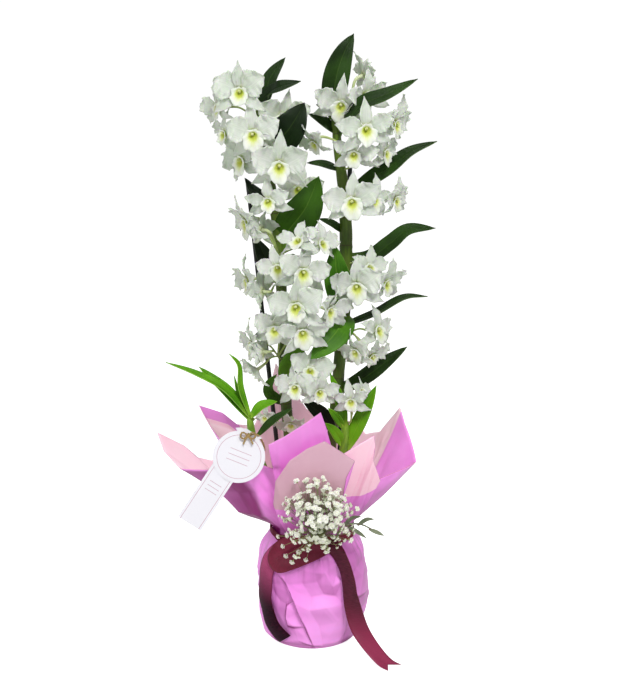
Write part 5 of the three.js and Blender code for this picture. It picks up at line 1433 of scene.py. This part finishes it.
# %% Build the baby's breath
BREATH = {"knot": (5.2, -51.6, 126), "middle": (8, -94, 175), "reach": (41, 24, 39)}
STRAGGLERS = [[-28, -74, 122], [-21, -76, 116], [-14, -78, 128], [-31, -76, 134], [-6, -80, 120],
              [-36, -78, 146]]
CLUMPS, HEADS_IN_CLUMP, CLUMP_SPREAD = 56, 5, (5, 3, 5)
GOLDEN_ANGLE = 137.508  # degrees: each clump from the one before
rng = np.random.default_rng(11)
form = Form()
knot, middle = vec(*BREATH["knot"]), vec(*BREATH["middle"])


def floret(form, centre, way, size, rng):
    """A tiny double flower: two rings of cupped petals round a tuft."""
    side = unit(np.cross(way, rng.normal(size=3)))
    other = np.cross(way, side)
    form.blob(centre - way * size * 0.3, (size * 0.28, size * 0.28, size * 0.4), [side, other, way], finish=1,
              rows=4, sides=6)
    form.blob(centre + way * size * 0.3, (size * 0.45, size * 0.42, size * 0.4), [side, other, way],
              rows=4, sides=6)
    for ring, (count, lean, long) in enumerate(((6, 0.9, 1.0), (5, 0.55, 0.95))):
        for k in range(count):
            a = 2 * math.pi * (k + rng.uniform(-0.25, 0.25)) / count + ring
            out = side * math.cos(a) + other * math.sin(a)
            flat = other * math.cos(a) - side * math.sin(a)
            s = np.linspace(0, 1, 4)[:, None, None]
            w = np.array([-1, 0, 1])[None, :, None] * np.array([0.15, 0.45, 0.52, 0.25])[:, None, None] * size
            tilt = lean * rng.uniform(0.75, 1.15) * (0.6 + 0.5 * s) * math.pi / 2
            grid = centre + size * long * s * (out * np.sin(tilt) + way * np.cos(tilt)) + flat * w
            form.strip(grid, 0)
            form.strip(grid - way * 0.08, 0, flip=True)


heads = []
for k in range(CLUMPS):
    turn = math.radians(k * GOLDEN_ANGLE) + rng.normal() * 0.2
    rise = np.clip(1 - 2 * (k + 0.5) / CLUMPS + rng.normal() * 0.08, -0.98, 0.98)
    flat = math.sqrt(1 - rise * rise)
    way = vec(flat * math.cos(turn), min(flat * math.sin(turn), 0.15), rise)
    clump = middle + way * BREATH["reach"] * (0.3 + 0.78 * rng.random() ** 0.7)
    heads += [clump + rng.normal(size=3) * CLUMP_SPREAD for _ in range(HEADS_IN_CLUMP)]
heads += [vec(*p) for p in STRAGGLERS]
for tip in heads:
    way = unit(tip - middle + vec(0, -6, 4) + rng.normal(size=3) * 5)
    bend = knot * 0.55 + middle * 0.45 + rng.normal(size=3) * 2.5
    branch = bend * 0.35 + tip * 0.65 + rng.normal(size=3) * 2
    stem = [knot + rng.normal(size=3) * 0.8, bend, branch, tip - way * 1.0]
    form.rod(stem, [0.4, 0.34, 0.26, 0.2], sides=5, finish=1, rows=9)
    floret(form, tip, way, rng.uniform(1.8, 4.0), rng)
form.make("breath_cloud", [floret_white, breath_stem], ["babys_breath"])
print("florets:", len(heads))

# %% Build the sprig
SPRIG_STEM = [[27.8, -42.9, 127], [30, -53, 141], [38, -68, 156], [54, -71, 157], [68, -74, 151]]
SPRIG_LEAVES = [
    [[34, -66, 152], [44, -70, 164], [54, -76, 168]], [[38, -67, 154], [50, -70, 148], [60, -76, 143]],
    [[50, -71, 156], [60, -74, 164], [68, -76, 165]], [[62, -74, 153], [70, -75, 150], [79, -76, 146]]]
form = Form()
form.rod(SPRIG_STEM, [1.2, 0.8], sides=8, rows=20)
for order, spine in enumerate(SPRIG_LEAVES):
    blade(form, spine, 4.6, [[0, -1, 0.5], [0, -1, 0.5]], 12, rows=16, cols=7, thickness=0.6, phase=order)
form.make("sprig_twig", [sprig_skin, sprig_skin], ["sprig"])

# %% [markdown]
# ## Gift tag
# Two cards hang on one tie of twine, each by its own hole: a round one, and a long strip behind it. Both are
# stiff card with a plain cut edge. The print is only a thin ring or two edge lines, with three short rules.

# %% The tag's own axes
TAG = {"hole": (-68, -70, 258), "hole_radius": 2.6, "down": (-0.53, -0.1, -0.84),
       "face": (0.12, -0.98, 0.16), "round_radius": 28, "round_drop": 25, "ear": 9, "round_turn": 9,
       "strip_length": 113, "strip_width": 29, "strip_turn": -2, "above_hole": 5}
CARD = 0.8
tag_face = unit(vec(*TAG["face"]))
tag_across = unit(np.cross(TAG["down"], tag_face))
tag_down = unit(np.cross(tag_face, tag_across))
if np.dot(np.cross(tag_across, -tag_down), tag_face) < 0:
    tag_across = -tag_across
hole = vec(*TAG["hole"])


def card_plate(name, outline, forward, turn, finishes, node):
    """A flat card with a punched hole. Its marks run over its own width and length."""
    work = bmesh.new()
    rings = [outline, [(TAG["hole_radius"] * math.cos(a), TAG["hole_radius"] * math.sin(a))
                       for a in np.linspace(0, 2 * math.pi, 24, endpoint=False)]]
    edges = []
    for ring in rings:
        corners = [work.verts.new((x, y, 0)) for x, y in ring]
        edges += [work.edges.new((a, b)) for a, b in zip(corners, corners[1:] + corners[:1])]
    bmesh.ops.triangle_fill(work, edges=edges, use_beauty=True, use_dissolve=False)
    made = bmesh.ops.extrude_face_region(work, geom=list(work.faces))
    for v in made["geom"]:
        if isinstance(v, bmesh.types.BMVert):
            v.co.z += CARD
    bmesh.ops.recalc_face_normals(work, faces=work.faces)
    marks = work.loops.layers.uv.new("along")
    c, s = math.cos(math.radians(turn)), math.sin(math.radians(turn))
    for face in work.faces:
        for corner in face.loops:
            corner[marks].uv = (corner.vert.co.x / CARD_MARKS + 0.5, corner.vert.co.y / CARD_MARKS)
        face.material_index = 1 if abs(face.normal.z) < 0.5 else 0
    for v in work.verts:
        x, y, z = v.co
        p = hole + tag_across * (x * c - y * s) - tag_down * (x * s + y * c) + tag_face * (z + forward)
        v.co = Vector(p * MM)
    mesh = bpy.data.meshes.new(name)
    work.to_mesh(mesh)
    work.free()
    dress(name, mesh, finishes, [node])


# %% Build the two cards
radius, drop, ear = TAG["round_radius"], TAG["round_drop"], TAG["ear"]
gap = math.acos(ear / radius) + 0.12
arc = np.linspace(math.pi - gap + 0.25, 2 * math.pi + gap - 0.25, 64)
top = TAG["above_hole"]
disc = [(-ear - 1, top), (-ear * 1.7, -drop + radius * math.sin(gap))]
disc += [(radius * math.cos(a), -drop + radius * math.sin(a)) for a in arc]
disc += [(ear * 1.7, -drop + radius * math.sin(gap)), (ear + 1, top)]
card_plate("tag_round", disc, CARD + 0.3, TAG["round_turn"], [card_round_print, card_edge], "card_round")
half, long = TAG["strip_width"] / 2, TAG["strip_length"]
strip = [(-half * 0.4, top), (-half, -12), (-half, -long), (half, -long), (half, -12), (half * 0.4, top)]
card_plate("tag_strip", strip, 0, TAG["strip_turn"], [card_strip_print, card_edge], "card_strip")
print("cards: round and strip")

# %% [markdown]
# ### Twine
# Jute twine is two strands wound round each other. It runs through both holes, round the young stem behind,
# and is tied in a small bow.


# %% Build the twine
TWINE = {"turns_per_mm": 0.22, "strand": 0.62, "apart": 0.52}  # radii in mm


def twine(form, points):
    """Two strands wound round each other along points."""
    length = np.sum(np.linalg.norm(np.diff(np.array(points, float), axis=0), axis=1))
    rows = int(length * 1.6) + 8
    line, ahead = smooth_line(points, rows)
    side = np.cross(ahead[0], ASKEW)
    turn = np.linspace(0, 2 * math.pi * length * TWINE["turns_per_mm"], rows)
    strands = [[], []]
    for k in range(rows):
        side = unit(side - ahead[k] * np.dot(side, ahead[k]))
        other = np.cross(ahead[k], side)
        push = side * math.cos(turn[k]) + other * math.sin(turn[k])
        strands[0].append(line[k] + push * TWINE["apart"])
        strands[1].append(line[k] - push * TWINE["apart"])
    for strand in strands:
        form.rod(strand, [TWINE["strand"], TWINE["strand"]], sides=6, rows=rows)


front = hole + tag_face * 5
stem = np.array(SHOOTS["left"][0][2]) * 0.15 + np.array(SHOOTS["left"][0][3]) * 0.85
ring = [front, hole - tag_face * 2, stem + vec(-7, -3, 1), stem + vec(-1, 7, 1), stem + vec(7, 1, 2),
        hole + vec(9, -4, 2), front]
form = Form()
twine(form, ring)
for way in (-1, 1):
    for outline in ([[0, 0], [5.5, 4], [8, 0.5], [5, -3], [0, 0]], [[0, 0], [3, -4], [5, -9]]):
        twine(form, [front + vec(way * x, -1 - 0.15 * abs(x), z) for x, z in outline])
form.blob(front, (2.6, 2.2, 2.0), rows=8, sides=12)
form.make("twine_tie", [jute], ["twine_bow"])

# %% [markdown]
# ## The sheets
# The film and the ribbon make nine sheets.

# %% The sheets
print("film and ribbon sheets: 9")

# %% [markdown]
# ## Floor, light and camera
# A plain white floor and a white surround. The key light stands in front, a little to the right and above,
# a weaker fill light to the left, and a third light above and behind. The camera stands in front, above the
# middle of the plant, and looks slightly down.

# %% Floor and surround
floor_mesh = bpy.data.meshes.new("floor")
FLOOR = 9  # metres from the middle to each edge
corners = [(-FLOOR, -FLOOR, 0), (FLOOR, -FLOOR, 0), (FLOOR, FLOOR, 0), (-FLOOR, FLOOR, 0)]
floor_mesh.from_pydata(corners, [], [(0, 1, 2, 3)])
floor = bpy.data.objects.new("floor", floor_mesh)
bpy.context.scene.collection.objects.link(floor)
floor_paint = Finish("floor_paint", Roughness=0.9)
mottle = floor_paint.use(MOTTLE, Scale=2.0)
floor_paint.set(Base_Color=floor_paint.mix(mottle["Clouds"], (0.80, 0.80, 0.80, 1), (0.84, 0.84, 0.84, 1)),
                Emission_Strength=0.85)
seen = floor_paint.add("ShaderNodeLightPath").outputs["Is Camera Ray"]
floor_paint.set(Emission_Color=floor_paint.mix(seen, (0, 0, 0, 1), (1, 1, 1, 1)))
floor_mesh.materials.append(floor_paint.material)
floor.location.z = -0.0002
world = bpy.data.worlds.new("surround")
world.use_nodes = True
sky = Nodes(world.node_tree)
seen = sky.add("ShaderNodeLightPath").outputs["Is Camera Ray"]
shine = world.node_tree.nodes["Background"].inputs
sky.put(shine["Color"], (1, 1, 1, 1))
sky.put(shine["Strength"], sky.plus(sky.times(seen, 0.66), 0.38))
bpy.context.scene.world = world


# %% Lights
LIT_PLACE = Vector((0, 0, 0.3))  # metres: where all three lights are turned to


def soft_light(name, place, size, power):
    lamp = bpy.data.lights.new(name, "AREA")
    lamp.shape, lamp.size, lamp.energy = "DISK", size, power
    made = bpy.data.objects.new(name, lamp)
    made.location = place
    made.rotation_euler = (LIT_PLACE - Vector(place)).to_track_quat("-Z", "Y").to_euler()
    bpy.context.scene.collection.objects.link(made)


soft_light("key_light", (0.4, -1.4, 1.7), size=0.5, power=25)
soft_light("fill_light", (-1.6, -1.0, 0.9), size=1.2, power=7)
soft_light("top_light", (-0.1, 0.6, 2.0), size=1.0, power=6)
bpy.context.scene.view_settings.view_transform = "Standard"
bpy.context.scene.view_settings.look = "None"

# %% Camera
lens = bpy.data.cameras.new("camera")
lens.lens, lens.sensor_width, lens.clip_start = 52.82, 36.0, 0.05
camera = bpy.data.objects.new("camera", lens)
camera.location = (0.007, -1.1249, 0.5751)
camera.rotation_euler = (Vector((0.007, 0, 0.336)) - camera.location).to_track_quat("-Z", "Y").to_euler()
bpy.context.scene.collection.objects.link(camera)
bpy.context.scene.camera = camera
